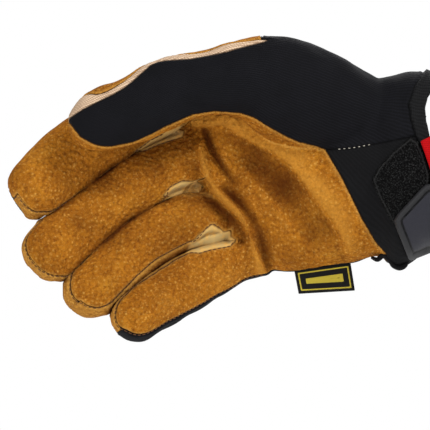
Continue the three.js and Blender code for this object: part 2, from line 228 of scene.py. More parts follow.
@dataclass
class Skin:
    """A triangle mesh held in arrays, with numbers on its points."""

    points: Array
    faces: Array
    data: dict[str, Array] = field(default_factory=dict)

    def sides(self) -> Array:
        """Each face's edges in its own direction, as two point numbers."""
        return np.vstack([self.faces[:, [0, 1]], self.faces[:, [1, 2]], self.faces[:, [2, 0]]])

    def edges(self) -> Array:
        """Each edge once, as two point numbers."""
        return np.unique(np.sort(self.sides(), axis=1), axis=0)

    def normals(self) -> Array:
        """Point normals: the sum of the faces' cross products, at length one."""
        corners = self.points[self.faces]
        cross = np.cross(corners[:, 1] - corners[:, 0], corners[:, 2] - corners[:, 0])
        total = np.zeros_like(self.points)
        for corner in range(3):
            np.add.at(total, self.faces[:, corner], cross)
        return unit(total)

    def relax(self, values: Array, rounds: int, strength: float = 0.5) -> Array:
        """Values moved towards the mean of their neighbours.

        Args:
            values: One number or row for each point.
            rounds: How many times.
            strength: Share of the way.

        Returns:
            The smoothed values.
        """
        edges = self.edges()
        count = np.bincount(edges.ravel(), minlength=len(self.points)).astype(float)
        flat = values.reshape(len(values), -1).astype(float)
        for _ in range(rounds):
            total = np.stack(
                [
                    np.bincount(edges[:, 0], column[edges[:, 1]], len(flat))
                    + np.bincount(edges[:, 1], column[edges[:, 0]], len(flat))
                    for column in flat.T
                ],
                axis=1,
            )
            flat = flat + strength * (total / count[:, None] - flat)
        return flat.reshape(values.shape)

    def even_field(self, values: Array) -> Array:
        """A field divided by its steepness, so that it reads as a distance near zero."""
        edges = self.edges()
        span = np.linalg.norm(self.points[edges[:, 0]] - self.points[edges[:, 1]], axis=1)
        slope = np.abs(values[edges[:, 0]] - values[edges[:, 1]]) / np.maximum(span, 1e-6)
        steep = np.zeros(len(values))
        np.maximum.at(steep, edges[:, 0], slope)
        np.maximum.at(steep, edges[:, 1], slope)
        steep = self.relax(steep, 3)
        return values / np.clip(steep, 0.25, 4.0)

    def keep(self, faces: Array) -> "Skin":
        """The skin of some of the faces, with unused points dropped."""
        used, flat = np.unique(faces, return_inverse=True)
        data = {name: values[used] for name, values in self.data.items()}
        return Skin(self.points[used], flat.reshape(faces.shape), data)

    def split(self, name: str) -> tuple["Skin", "Skin"]:
        """Cuts the skin along the zero line of one of its fields.

        Each crossed triangle has one point alone on its side. New points lie on its two edges
        from there, at the share f0 / (f0 - f1), and make one triangle and two.

        Args:
            name: The field's name.

        Returns:
            The skin where the field is positive, and the rest.
        """
        value = self.data[name].copy()
        value[np.abs(value) < 1e-5] = 1e-5
        above = value > 0
        count = above[self.faces].sum(axis=1)
        mixed = self.faces[(count == 1) | (count == 2)]
        lone_above = above[mixed].sum(axis=1) == 1
        lone = np.argmax(above[mixed] == lone_above[:, None], axis=1)
        turn = (lone[:, None] + np.arange(3)) % 3
        a, b, c = np.take_along_axis(mixed, turn, axis=1).T
        ends = np.vstack([np.stack([a, b], 1), np.stack([a, c], 1)])
        pairs, index = np.unique(np.sort(ends, axis=1), axis=0, return_inverse=True)
        index = index.ravel() + len(self.points)
        ab, ac = index[: len(a)], index[len(a):]
        share = value[pairs[:, 0]] / (value[pairs[:, 0]] - value[pairs[:, 1]])

        def between(values: Array) -> Array:
            """Values at the new points, added to the old ones."""
            part = share if values.ndim == 1 else share[:, None]
            new = values[pairs[:, 0]] * (1 - part) + values[pairs[:, 1]] * part
            return np.concatenate([values, new])

        whole = Skin(between(self.points), self.faces, {k: between(v) for k, v in self.data.items()})
        if name != "inside":
            whole.data["edge"][len(self.points):] = 0.0
        tip = np.stack([a, ab, ac], 1)
        base = np.vstack([np.stack([ab, b, c], 1), np.stack([ab, c, ac], 1)])
        twice = np.concatenate([lone_above, lone_above])
        inside = np.vstack([self.faces[count == 3], tip[lone_above], base[~twice]])
        outside = np.vstack([self.faces[count == 0], tip[~lone_above], base[twice]])
        return whole.keep(inside), whole.keep(outside)

    def rim(self) -> Array:
        """Directed edges that only one face has."""
        pairs = self.sides()
        key = pairs[:, 0] * len(self.points) + pairs[:, 1]
        back = pairs[:, 1] * len(self.points) + pairs[:, 0]
        return pairs[~np.isin(back, key)]

    def kept_normals(self) -> Array:
        """The normals kept in the skin's fields."""
        return np.stack([self.data[name] for name in NORMAL_FIELDS], axis=1)

    def thickened(self, wall: float) -> "Skin":
        """The skin with a second one at a wall's depth under it, joined round the rim.

        Args:
            wall: Thickness, against the kept normals.

        Returns:
            A closed skin.
        """
        normals = unit(self.kept_normals())
        count = len(self.points)
        i, j = self.rim().T
        sides = np.vstack([np.stack([j, i, i + count], 1), np.stack([j, i + count, j + count], 1)])
        faces = np.vstack([self.faces, self.faces[:, ::-1] + count, sides])
        data = {name: np.concatenate([values, values]) for name, values in self.data.items()}
        return Skin(np.vstack([self.points, self.points - normals * wall]), faces, data)

    def mesh(self, name: str, attributes: tuple[str, ...]) -> bpy.types.Object:
        """The skin as a Blender object.

        Args:
            name: The object's name.
            attributes: Fields to write as point attributes.

        Returns:
            The object, linked to the scene.
        """
        return make_object(name, self.points, self.faces, {k: self.data[k] for k in attributes})


def place_object(name: str, data: bpy.types.ID) -> bpy.types.Object:
    """An object of a mesh, a lamp or a camera, linked to the scene."""
    thing = bpy.data.objects.new(name, data)
    bpy.context.scene.collection.objects.link(thing)
    return thing


def make_object(
    name: str, points: Array, faces: Array, attributes: dict[str, Array] | None = None
) -> bpy.types.Object:
    """A mesh object from arrays.

    Args:
        name: The object's name.
        points: Places in millimetres.
        faces: Triangles or quads, all with the same number of corners.
        attributes: Numbers for each point, by name.

    Returns:
        The object, linked to the scene.
    """
    mesh = bpy.data.meshes.new(name)
    corners = faces.shape[1]
    mesh.vertices.add(len(points))
    mesh.vertices.foreach_set("co", (points * MM).astype(np.float32).ravel())
    mesh.loops.add(faces.size)
    mesh.loops.foreach_set("vertex_index", faces.astype(np.int32).ravel())
    mesh.polygons.add(len(faces))
    mesh.polygons.foreach_set("loop_start", np.arange(0, faces.size, corners, dtype=np.int32))
    mesh.polygons.foreach_set("use_smooth", np.ones(len(faces), dtype=bool))
    mesh.update(calc_edges=True)
    for key, values in (attributes or {}).items():
        layer = mesh.attributes.new(key, "FLOAT", "POINT")
        layer.data.foreach_set("value", values.astype(np.float32))
    mesh.set_sharp_from_angle(angle=math.radians(SHARP))
    return place_object(name, mesh)


def grid_faces(rings: int, sides: int, closed: bool = True) -> Array:
    """Quads between neighbouring rings of points.

    Args:
        rings: Number of rings.
        sides: Points in each ring.
        closed: Whether the last point of a ring joins the first.

    Returns:
        Four point numbers in each row.
    """
    ring = np.arange(rings - 1)[:, None]
    side = np.arange(sides if closed else sides - 1)[None, :]
    a = ring * sides + side
    b = ring * sides + (side + 1) % sides
    return np.stack([a, b, b + sides, a + sides], axis=-1).reshape(-1, 4)


def closed_tube(rings: Array) -> tuple[Array, Array]:
    """A tube through rings, each end closed by a small ring drawn to its middle.

    Args:
        rings: Points by ring and side.

    Returns:
        Points and quads.
    """
    caps = [rings[end].mean(axis=0) + (rings[end] - rings[end].mean(axis=0)) * 1e-3 for end in (0, -1)]
    rings = np.concatenate([caps[0][None], rings, caps[1][None]])
    return rings.reshape(-1, 3), grid_faces(len(rings), rings.shape[1])


# The hand's form


@dataclass
class DigitForm:
    """A finger or the thumb: an elliptic tube along a curve, with a round tip.

    The point at length s and angle u is c(s) + w(s) cos(u) across + d(s) sin(u) depth, and both
    half sizes shrink by (1 - t^n)^(1/n) over the last TIP_LENGTH, where n is TIP_FULLNESS.
    """

    name: str
    rows: list[tuple[float, float, float, float, float]]
    spread: float = 0.0
    lift: float = 0.0
    parts_at: float = 0.2
    swell: tuple[float, float] = (0.0, 0.0)
    stations: int = 120
    body_rings: int = 70
    tip_rings: int = 14
    line: Array = field(init=False)
    size: Array = field(init=False)
    tangent: Array = field(init=False)
    across: Array = field(init=False)
    depth: Array = field(init=False)
    length: float = field(init=False)

    def __post_init__(self) -> None:
        """Works out the stations along the digit."""
        fine = evenly(spline(np.array(self.rows), 24), self.stations)
        self.line, self.size = fine[:, :3], fine[:, 3:]
        self.length = float(np.linalg.norm(np.diff(self.line, axis=0), axis=1).sum())
        self.tangent = unit(np.gradient(self.line, axis=0))
        self.across = unit(np.cross(self.tangent, [0.0, 1.0, 0.0]))
        self.depth = unit(np.cross(self.across, self.tangent))

    def shift(self, share: Array) -> Array:
        """How far the digit is held from its place while the hand is joined.

        Args:
            share: Shares of the digit's length.

        Returns:
            One vector for each share.
        """
        place = share * (self.stations - 1)
        ramp = smooth_step(self.parts_at, self.parts_at + PARTING, share)[:, None]
        return ramp * (self.spread * self.at(self.across, place) - self.lift * self.at(self.depth, place))

    def at(self, values: Array, place: Array) -> Array:
        """Values at fractional station numbers."""
        low = np.clip(np.floor(place).astype(int), 0, self.stations - 2)
        part = np.clip(place - low, 0, 1)[:, None]
        return values[low] * (1 - part) + values[low + 1] * part

    def tube(self, sides: int = 56) -> tuple[Array, Array]:
        """The digit as a closed tube, held apart from its neighbours."""
        straight = 1 - TIP_LENGTH / self.length
        body = np.linspace(0, straight, self.body_rings)
        part = np.sin(np.linspace(0, math.pi / 2, self.tip_rings)[1:]) * 0.999
        share = np.concatenate([body, straight + (1 - straight) * part])
        shrink = np.concatenate([np.ones(len(body)), (1 - part**TIP_FULLNESS) ** (1 / TIP_FULLNESS)])
        place = share * (self.stations - 1)
        centre = self.at(self.line, place) + self.shift(share)
        size = self.at(self.size, place) * shrink[:, None]
        angle = np.arange(sides) * 2 * math.pi / sides
        more = np.where(np.cos(angle) > 0, self.swell[1], self.swell[0]) * np.cos(angle)
        wide = size[:, :1] * np.cos(angle) + shrink[:, None] * more
        rings = (
            centre[:, None]
            + wide[..., None] * self.at(self.across, place)[:, None]
            + (size[:, 1:] * np.sin(angle))[..., None] * self.at(self.depth, place)[:, None]
        )
        return closed_tube(rings)

    def locate(self, points: Array) -> dict[str, Array]:
        """The digit's own coordinates of places round it, while it is held apart.

        Args:
            points: Places in millimetres.

        Returns:
            share of its length, across and depth in millimetres, around as the angle from the
            middle of the palm side, and gap, the rough distance to its surface.
        """
        every = np.linspace(0, 1, self.stations)
        line = self.line + self.shift(every)
        near = np.empty(len(points), int)
        for start in range(0, len(points), 10 * BATCH):
            rows = slice(start, start + 10 * BATCH)
            part = points[rows]
            square = (part**2).sum(1)[:, None] - 2 * part @ line.T + (line**2).sum(1)
            near[rows] = square.argmin(axis=1)
        step = self.length / (self.stations - 1)
        along = ((points - line[near]) * self.tangent[near]).sum(axis=1)
        place = near + along / step
        inside = np.clip(place, 0, self.stations - 1)
        offset = points - self.at(line, inside)
        across = (offset * self.at(self.across, inside)).sum(axis=1)
        depth = (offset * self.at(self.depth, inside)).sum(axis=1)
        size = self.at(self.size, inside)
        tip = np.clip((place * step - (self.length - TIP_LENGTH)) / TIP_LENGTH, 0, None)
        before = np.clip(-place * step, 0, None) / TIP_LENGTH
        wide = size[:, 0] + np.where(across > 0, self.swell[1], self.swell[0])
        round_ = np.hypot(across / wide, depth / size[:, 1])
        full = (round_**TIP_FULLNESS + tip**TIP_FULLNESS + before**TIP_FULLNESS) ** (1 / TIP_FULLNESS)
        around = np.arccos(np.clip(-(depth / size[:, 1]) / np.maximum(full, 1e-6), -1, 1))
        return {
            "share": place / (self.stations - 1),
            "across": across,
            "depth": depth,
            "around": around,
            "radius": size.mean(axis=1),
            "gap": (full - 1) * size.min(axis=1),
        }


# Columns: x, y, z of the middle, half width, half depth
DIGITS = {
    "index": DigitForm(
        "index",
        [
            (-90.0, 8.0, 38.6, 14.6, 13.0),
            (-105.0, 7.0, 35.0, 14.8, 13.0),
            (-120.0, 5.0, 30.4, 15.0, 12.8),
            (-134.5, 3.5, 24.3, 14.9, 12.6),
            (-147.3, 2.0, 17.1, 14.8, 12.4),
            (-158.2, 0.0, 9.3, 14.7, 12.3),
            (-170.0, -4.0, 0.4, 14.4, 12.0),
            (-178.6, -9.0, -7.3, 13.8, 11.6),
            (-188.0, -15.0, -17.1, 13.2, 11.0),
        ],
        spread=-4.8,
        parts_at=0.12,
        swell=(0.0, 0.7),
    ),
    "middle": DigitForm(
        "middle",
        [
            (-79.1, 9.0, 12.3, 14.0, 13.5),
            (-94.5, 8.0, 7.8, 13.8, 13.2),
            (-110.6, 6.0, 3.0, 13.3, 12.6),
            (-125.9, 4.0, -3.1, 12.7, 12.2),
            (-139.1, 2.0, -10.4, 12.3, 12.0),
            (-150.4, 0.0, -18.1, 12.3, 12.0),
            (-162.0, -5.0, -27.9, 12.9, 12.0),
            (-173.6, -12.0, -38.5, 13.4, 11.8),
            (-181.8, -17.0, -47.6, 12.9, 11.0),
        ],
        spread=-1.6,
        parts_at=0.18,
        swell=(0.4, 0.6),
    ),
    "ring": DigitForm(
        "ring",
        [
            (-66.4, 9.0, -11.4, 13.0, 13.0),
            (-82.3, 8.0, -16.8, 13.0, 12.6),
            (-98.6, 6.0, -21.8, 12.5, 12.2),
            (-114.1, 4.0, -26.0, 12.3, 11.8),
            (-128.2, 1.0, -33.1, 12.2, 11.6),
            (-139.5, -3.0, -41.8, 12.0, 11.5),
            (-150.0, -9.0, -51.1, 12.0, 11.4),
            (-158.2, -14.0, -58.8, 11.7, 11.0),
            (-164.1, -18.0, -64.6, 11.0, 10.0),
        ],
        spread=1.6,
        parts_at=0.24,
        swell=(0.6, 0.7),
    ),
    "little": DigitForm(
        "little",
        [
            (-55.0, 9.0, -22.7, 12.0, 12.5),
            (-70.9, 8.0, -32.3, 12.0, 12.0),
            (-87.7, 6.0, -41.0, 11.6, 11.4),
            (-101.6, 4.0, -47.6, 12.2, 11.0),
            (-113.6, 0.0, -54.4, 12.2, 10.8),
            (-124.4, -6.0, -61.3, 11.6, 10.5),
            (-133.3, -12.0, -67.5, 11.0, 10.2),
            (-139.1, -16.0, -71.7, 10.6, 9.8),
            (-144.3, -19.0, -75.6, 10.0, 9.0),
        ],
        spread=4.8,
        parts_at=0.26,
        swell=(0.9, 0.0),
    ),
    "thumb": DigitForm(
        "thumb",
        [
            (-29.1, -2.0, 19.5, 18.0, 19.0),
            (-48.2, -7.0, 26.4, 22.0, 20.0),
            (-66.4, -13.0, 33.2, 22.5, 18.5),
            (-84.5, -18.0, 39.1, 18.4, 16.0),
            (-101.4, -21.0, 38.2, 14.6, 13.5),
            (-116.4, -23.0, 35.0, 14.2, 12.0),
            (-128.6, -24.5, 29.8, 14.6, 11.5),
            (-141.4, -25.0, 22.7, 12.9, 10.5),
            (-151.4, -25.0, 19.1, 11.3, 9.3),
            (-166.4, -24.0, 17.3, 8.5, 7.5),
        ],
        lift=9.0,
        parts_at=0.42,
        swell=(0.3, 1.6),
    ),
}
FINGERS = ("index", "middle", "ring", "little")


@dataclass
class PalmForm:
    """The palm and wrist: full sections from the cuff to the knuckles.

    A section's point at angle u is its middle + w |cos u|^0.84 across + d |sin u|^0.84 in y,
    with the signs of the cosine and sine.
    """

    # Columns: x and z at the thumb side, x and z at the other side, y, half depth
    rows: tuple[tuple[float, float, float, float, float, float], ...] = (
        (7.5, 42.5, 7.5, -44.5, 0.0, 30.0),
        (-5.5, 42.3, -5.5, -43.8, 0.0, 29.5),
        (-12.3, 42.3, -12.3, -45.6, 0.0, 29.0),
        (-20.0, 40.2, -18.6, -46.2, 0.0, 28.0),
        (-27.0, 39.3, -25.5, -41.2, 1.0, 26.0),
        (-43.6, 42.0, -39.1, -44.1, 2.0, 23.0),
        (-59.5, 46.5, -53.6, -46.8, 4.0, 21.0),
        (-76.4, 52.0, -66.4, -48.2, 5.0, 19.0),
        (-91.4, 53.0, -76.4, -46.8, 6.0, 17.2),
        (-105.0, 50.0, -84.5, -45.9, 6.5, 15.2),
        (-113.5, 46.0, -88.6, -44.1, 6.5, 12.8),
        (-119.0, 41.5, -92.0, -41.5, 6.5, 9.0),
    )
    fullness: float = 0.84
    # x where the palm starts to end at the knuckles, and the length over which it does
    knuckles: float = -104.0
    fall: float = 20.0

    def fine(self) -> Array:
        """The rows as a fine curve, with the middle in the first three columns."""
        rows = np.array(self.rows)
        middle = np.stack([(rows[:, 0] + rows[:, 2]) / 2, rows[:, 4], (rows[:, 1] + rows[:, 3]) / 2], 1)
        return evenly(spline(np.hstack([middle, rows]), 24), 90)

    def tube(self, sides: int = 110) -> tuple[Array, Array]:
        """The palm as a closed tube."""
        fine = self.fine()
        angle = np.arange(sides) * 2 * math.pi / sides
        full = [np.sign(v) * np.abs(v) ** self.fullness for v in (np.cos(angle), np.sin(angle))]
        upper = np.stack([fine[:, 3], fine[:, 7], fine[:, 4]], axis=1)
        lower = np.stack([fine[:, 5], fine[:, 7], fine[:, 6]], axis=1)
        half = (lower - upper) / 2
        rings = ((upper + lower) / 2)[:, None] + full[0][:, None] * half[:, None]
        rings[..., 1] += full[1] * fine[:, 8:9]
        return closed_tube(rings)

    def locate(self, points: Array) -> dict[str, Array]:
        """The palm's own coordinates of places round it, read off its outline.

        Args:
            points: Places in millimetres.

        Returns:
            across and depth from the middle, around as the angle from the palm side, and gap,
            the rough distance to its surface.
        """
        fine = self.fine()[::-1]
        upper = np.interp(points[:, 0], fine[:, 3], fine[:, 4])
        lower = np.interp(points[:, 0], fine[:, 5], fine[:, 6])
        middle = np.interp(points[:, 0], fine[:, 0], fine[:, 7])
        deep = np.interp(points[:, 0], fine[:, 0], fine[:, 8])
        wide = (upper - lower) / 2
        across = (upper + lower) / 2 - points[:, 2]
        depth = points[:, 1] - middle
        beyond = np.clip((self.knuckles - points[:, 0]) / self.fall, 0, None)
        full = np.sqrt((across / wide) ** 2 + (depth / deep) ** 2 + beyond**2)
        around = np.arccos(np.clip(-(depth / deep) / np.maximum(full, 1e-6), -1, 1))
        return {
            "across": across,
            "depth": depth,
            "around": around,
            "radius": (wide + deep) / 2,
            "gap": (full - 1) * deep,
        }


@dataclass(frozen=True)
class Nudge:
    """A local move of the skin in x and z, which fades as exp(-(r / reach)^2)."""

    form: str
    place: tuple[float, float]
    move: tuple[float, float]
    reach: float

    def apply(self, skin: Skin) -> None:
        """Moves the points of one form."""
        x, _, z = skin.points.T
        away = np.hypot(x - self.place[0], z - self.place[1])
        share = bell(away, self.reach) * skin.data[f"{self.form}_weight"]
        skin.points[:, 0] += share * self.move[0]
        skin.points[:, 2] += share * self.move[1]


NUDGES = (
    Nudge("index", (-186.0, -22.5), (-0.2, -2.4), 7.0),
    Nudge("thumb", (-155.0, 33.0), (-1.4, 3.6), 10.0),
    Nudge("ring", (-150.0, -66.0), (0.5, -0.3), 8.0),
    Nudge("palm", (-68.0, 57.0), (0.0, 0.9), 10.0),
    Nudge("thumb", (-68.0, 57.0), (0.0, 1.1), 10.0),
    Nudge("palm", (-77.5, -48.0), (0.3, -1.6), 3.4),
    Nudge("palm", (-84.0, -49.0), (0.4, 1.2), 4.0),
    Nudge("palm", (-36.0, -44.0), (0.0, -0.6), 7.0),
    Nudge("palm", (-22.0, -46.0), (0.0, -0.6), 5.0),
    Nudge("palm", (1.0, -44.0), (0.0, 6.0), 9.5),
    Nudge("palm", (-17.5, -47.0), (0.0, -1.0), 5.0),
    Nudge("thumb", (-106.0, 56.0), (0.0, -1.1), 15.0),
    Nudge("index", (-106.0, 54.0), (0.0, -1.3), 15.0),
    Nudge("palm", (-106.0, 54.0), (0.0, -1.3), 15.0),
    Nudge("middle", (-170.0, -22.0), (-0.6, 1.2), 7.0),
    Nudge("index", (-184.0, -27.0), (-0.6, -1.0), 5.0),
    Nudge("index", (-175.0, 18.0), (-0.4, 0.5), 12.0),
    Nudge("ring", (-157.0, -72.0), (0.3, 0.7), 9.0),
    Nudge("ring", (-171.0, -63.0), (-0.7, 0.0), 6.0),
    Nudge("little", (-143.0, -84.0), (0.4, 0.9), 9.0),
    Nudge("little", (-112.0, -68.0), (0.4, -0.7), 14.0),
    Nudge("thumb", (-62.0, 58.0), (0.0, 0.5), 9.0),
    Nudge("palm", (-62.0, 58.0), (0.0, 0.5), 9.0),
    Nudge("palm", (-22.0, 40.0), (0.0, 0.5), 10.0),
    Nudge("palm", (-74.0, -48.0), (0.0, -0.9), 6.0),
)


@dataclass
class HandForm:
    """The bare glove as one skin: digits and palm joined, smoothed and closed up."""

    palm: PalmForm = field(default_factory=PalmForm)
    voxel: float = 0.95
    # Rounds and strength of the smoothing; the second part puts back what the first shrinks
    smoothing: tuple[tuple[int, float], ...] = ((2, 0.5), (1, -0.52))
    blur: float = 1.6
    closings: int = 3
    # A wall: how far its normals lean, how much it belongs to the finger, and its part of the length
    wall_lean: float = 0.25
    wall_weight: float = 0.45
    wall_part: tuple[float, float] = (0.08, 0.97)
    # How far a wall's normal has to point at the other wall before it moves, and moves in full
    aim: tuple[float, float] = (0.2, 0.7)
    touch: float = 2.0

    def joined(self) -> Skin:
        """The outer skin of all the tubes together, by a voxel remesh."""
        points, faces, first = [], [], 0
        for form in [self.palm, *DIGITS.values()]:
            own, quads = form.tube()
            points.append(own)
            faces.append(quads + first)
            first += len(own)
        raw = make_object("joined", np.vstack(points), np.vstack(faces))
        remesh = raw.modifiers.new("join", "REMESH")
        remesh.mode = "VOXEL"
        remesh.voxel_size = self.voxel * MM
        graph = bpy.context.evaluated_depsgraph_get()
        mesh = raw.evaluated_get(graph).to_mesh()
        mesh.calc_loop_triangles()
        place = np.empty(len(mesh.vertices) * 3, np.float32)
        mesh.vertices.foreach_get("co", place)
        corner = np.empty(len(mesh.loop_triangles) * 3, np.int32)
        mesh.loop_triangles.foreach_get("vertices", corner)
        bpy.data.objects.remove(raw)
        return Skin(place.reshape(-1, 3).astype(float) / MM, corner.reshape(-1, 3).astype(int))

    def skin(self) -> Skin:
        """The hand's skin at rest, with every form's coordinates as fields.

        Fields are named form_coordinate, and form_weight is how much of a point belongs to the
        form: exp(-(gap / blur)^2), as a share of the sum.
        """
        skin = self.joined()
        for rounds, strength in self.smoothing:
            skin.points = skin.relax(skin.points, rounds, strength)
        forms = {**DIGITS, "palm": self.palm}
        found = {name: form.locate(skin.points) for name, form in forms.items()}
        gaps = np.stack([found[name]["gap"] for name in forms], axis=1)
        gaps = gaps - gaps.min(axis=1, keepdims=True)
        weights = bell(gaps, self.blur)
        weights /= weights.sum(axis=1, keepdims=True)
        moved = np.zeros_like(skin.points)
        for column, (name, form) in enumerate(forms.items()):
            skin.data[f"{name}_weight"] = weights[:, column]
            for key, values in found[name].items():
                skin.data[f"{name}_{key}"] = values
            if name != "palm":
                moved += weights[:, column:column + 1] * form.shift(found[name]["share"])
        skin.points = skin.points - skin.relax(moved, 4)
        for nudge in NUDGES:
            nudge.apply(skin)
        for _ in range(self.closings):
            self.close_gaps(skin)
        return skin

    def close_gaps(self, skin: Skin, rest: float = 0.22, reach: float = 4.2) -> None:
        """Draws the facing walls of neighbouring fingers together, where they are near.

        Each point moves by half of (g - rest) g / |g| towards the nearest point of the other
        wall, where g leads there. A wall is the points of one finger whose normals lean to the
        other. The field contact says how near the walls are.

        Args:
            skin: The hand's skin.
            rest: The gap that stays.
            reach: The widest gap that is closed.
        """
        normal = skin.normals()
        pull = np.zeros_like(skin.points)
        contact = np.zeros(len(skin.points))
        for first, second in zip(FINGERS[:-1], FINGERS[1:]):
            walls = []
            for name, side in ((first, Side.LITTLE), (second, Side.THUMB)):
                lean = (normal * self.across(skin, name)).sum(axis=1) * side.value
                own = skin.data[f"{name}_weight"] + 0.6 * skin.data["palm_weight"]
                share = skin.data[f"{name}_share"]
                near = (share > self.wall_part[0]) & (share < self.wall_part[1])
                walls.append(np.flatnonzero((lean > self.wall_lean) & (own > self.wall_weight) & near))
            for mine, other in (walls, walls[::-1]):
                goal = skin.points[other]
                start = skin.points[mine]
                nearest = np.empty(len(mine), int)
                for low in range(0, len(mine), BATCH):
                    rows = slice(low, low + BATCH)
                    square = ((start[rows, None] - goal[None]) ** 2).sum(axis=2)
                    nearest[rows] = square.argmin(axis=1)
                gap = goal[nearest] - start
                size = np.linalg.norm(gap, axis=1)
                ahead = (gap * normal[mine]).sum(axis=1) / np.maximum(size, 1e-6)
                share = smooth_step(*self.aim, ahead) * smooth_step(reach, reach * 0.6, size)
                away = np.maximum(size - rest, 0.0) / np.maximum(size, 1e-6)
                pull[mine] += gap * (0.5 * share * away)[:, None]
                contact[mine] = np.maximum(contact[mine], bell(size, self.touch))
        skin.points = skin.points + skin.relax(pull, 2)
        skin.data["contact"] = skin.relax(contact, 2)

    def across(self, skin: Skin, name: str) -> Array:
        """A finger's across direction at each point of the skin."""
        form = DIGITS[name]
        return form.at(form.across, np.clip(skin.data[f"{name}_share"], 0, 1) * (form.stations - 1))


# Folds and seams


@dataclass(frozen=True)
class Fold:
    """A fold in the palm's leather, with painted shade along it; a negative shade is painted highlight.

    The skin moves in y by depth * exp(-(d / width)^2) * sin(pi share)^taper, where d is the
    distance to the line and the width differs on the line's two sides.
    """

    line: Outline
    depth: float
    left: float
    right: float
    taper: float = 0.5
    shade: float | None = None
    shade_rate: float = 0.13

    def press(self, x: Array, z: Array) -> tuple[Array, Array]:
        """How far the skin moves in y, and its painted shade, at places seen from the palm."""
        fine = spline(np.array([(px, 0.0, pz) for px, pz in self.line]), 8)[:, [0, 2]]
        gap, side, share = line_distance(x, z, fine)
        width = np.where(side > 0, self.left, self.right)
        fade = np.sin(np.clip(share, 0.0, 1.0) * math.pi) ** self.taper
        share = bell(gap, width) * fade
        shade = self.depth * self.shade_rate if self.shade is None else self.shade
        return self.depth * share, shade * share


VALLEY = ((-109.1, 3.2), (-106.8, -6.8), (-102.3, -14.1), (-95.5, -20.9), (-89.1, -27.7), (-84.5, -34.1))
ROLL = (
    (-106.8, 11.4), (-105.5, 0.0), (-102.7, -8.6), (-96.4, -15.9), (-89.1, -22.3), (-84.5, -29.5),
    (-81.4, -38.6), (-78.6, -49.7),
)
CREASE = (
    (-98.2, -9.5), (-92.7, -15.5), (-88.6, -20.5), (-85.9, -25.5), (-83.6, -31.4), (-81.4, -36.8),
    (-79.1, -42.3), (-75.4, -50.6),
)
WEB_CREASE = ((-107.4, 21.6), (-103.6, 10.5), (-100.5, 4.1), (-96.4, -2.3), (-90.9, -9.5))
HOLLOW = ((-97.0, 18.0), (-84.5, 4.5), (-74.5, -6.8), (-65.5, -16.8), (-56.4, -27.3), (-50.0, -35.9))
HEEL = (
    (-84.0, 11.5), (-68.6, 1.8), (-61.8, -5.9), (-55.0, -14.1), (-49.1, -22.7), (-43.6, -31.4),
    (-39.1, -43.5),
)
FINE_RIDGE = ((-90.9, 3.2), (-82.3, -8.6), (-76.4, -15.9), (-70.0, -24.1), (-63.6, -32.3), (-58.2, -38.6))
WEB_LIP = ((-116.5, 20.6), (-105.9, 17.7), (-97.3, 19.5), (-88.1, 23.3))
UPPER_LEAF = ((-98.2, 18.2), (-93.2, 17.3), (-85.9, 17.3), (-77.2, 16.4))
LOWER_LEAF = ((-96.5, 19.2), (-90.0, 14.1), (-84.5, 10.9), (-75.3, 6.7))
THUMB_LEAF = ((-116.0, 21.0), (-102.0, 23.5), (-90.0, 22.5), (-80.0, 18.0), (-68.0, 11.0), (-56.0, 7.0))
LEAF_LIGHT = ((-114.0, 20.5), (-100.0, 21.5), (-90.0, 21.0), (-80.0, 17.0), (-68.0, 10.0), (-54.0, 4.0))
# Columns: line, depth, width on the left, width on the right, taper, painted shade (negative is painted
# highlight; without it, depth times shade_rate)
FOLDS = (
    Fold(VALLEY, 3.2, 2.2, 5.0, 0.4, 0.66),
    Fold(ROLL, -3.6, 2.2, 2.6, 0.3, -0.85),
    Fold(CREASE, 3.6, 4.6, 1.0, 0.35, 0.85),
    Fold(WEB_CREASE, 2.8, 2.2, 1.4, 0.5, 0.8),
    Fold(HOLLOW, 3.4, 7.0, 8.0, 0.6, 0.35),
    Fold(HEEL, -2.1, 6.5, 1.7, 0.4, -0.5),
    Fold(FINE_RIDGE, -1.2, 1.5, 2.6, 0.8, -0.3),
    Fold(THUMB_LEAF, -4.5, 9.0, 4.5, 0.4, -0.6),
    Fold(WEB_LIP, -2.4, 3.4, 0.8, 0.5, -0.7),
    Fold(UPPER_LEAF, -1.3, 1.8, 0.8, 0.6, -0.5),
    Fold(LOWER_LEAF, -2.3, 4.0, 0.8, 0.6, -0.7),
    Fold(((-93.6, -38.6), (-90.9, -44.1), (-89.1, -50.5)), 1.1, 1.4, 1.2, 1.0),
    Fold(((-87.7, -40.9), (-85.9, -45.9), (-85.5, -51.5)), 0.9, 1.4, 1.0, 1.0),
    Fold(((-122.5, -14.0), (-115.0, -10.4), (-108.6, -9.6)), 1.9, 0.9, 0.9, 0.4, 0.9),
    Fold(((-111.0, -36.0), (-104.5, -31.6), (-97.6, -30.5)), 1.6, 0.7, 0.7, 0.4, 0.9),
    Fold(((-134.0, 7.6), (-124.0, 12.4), (-116.2, 14.4)), 1.2, 0.6, 0.6, 0.4, 0.6),
    # Folds of no depth are only painted: painted light on the leaf under the thumb and on the heel band,
    # painted shade and light on the two sides of the heel's crease, and painted shade in the middle of the
    # palm and near the roots of the fingers
    Fold(LEAF_LIGHT, 0.0, 6.0, 4.5, 0.3, -1.0),
    Fold(((-68.0, 6.0), (-54.0, -8.0), (-44.0, -24.0), (-35.0, -44.0)), 0.0, 13.0, 4.0, 0.3, -0.25),
    Fold(HEEL, 0.0, 0.5, 9.0, 0.4, 0.36),
    Fold(HEEL, 0.0, 8.0, 0.5, 0.4, -0.3),
    Fold(((-96.0, 14.0), (-82.0, -4.0), (-70.0, -18.0), (-58.0, -36.0)), 0.0, 9.0, 9.0, 0.4, 0.28),
    Fold(((-136.0, 0.0), (-120.0, 6.0), (-106.0, 10.0)), 0.0, 4.0, 7.0, 0.6, 0.3),
    Fold(((-118.0, -14.0), (-108.0, -16.0), (-100.0, -22.0)), 0.0, 3.0, 5.0, 0.6, 0.3),
)


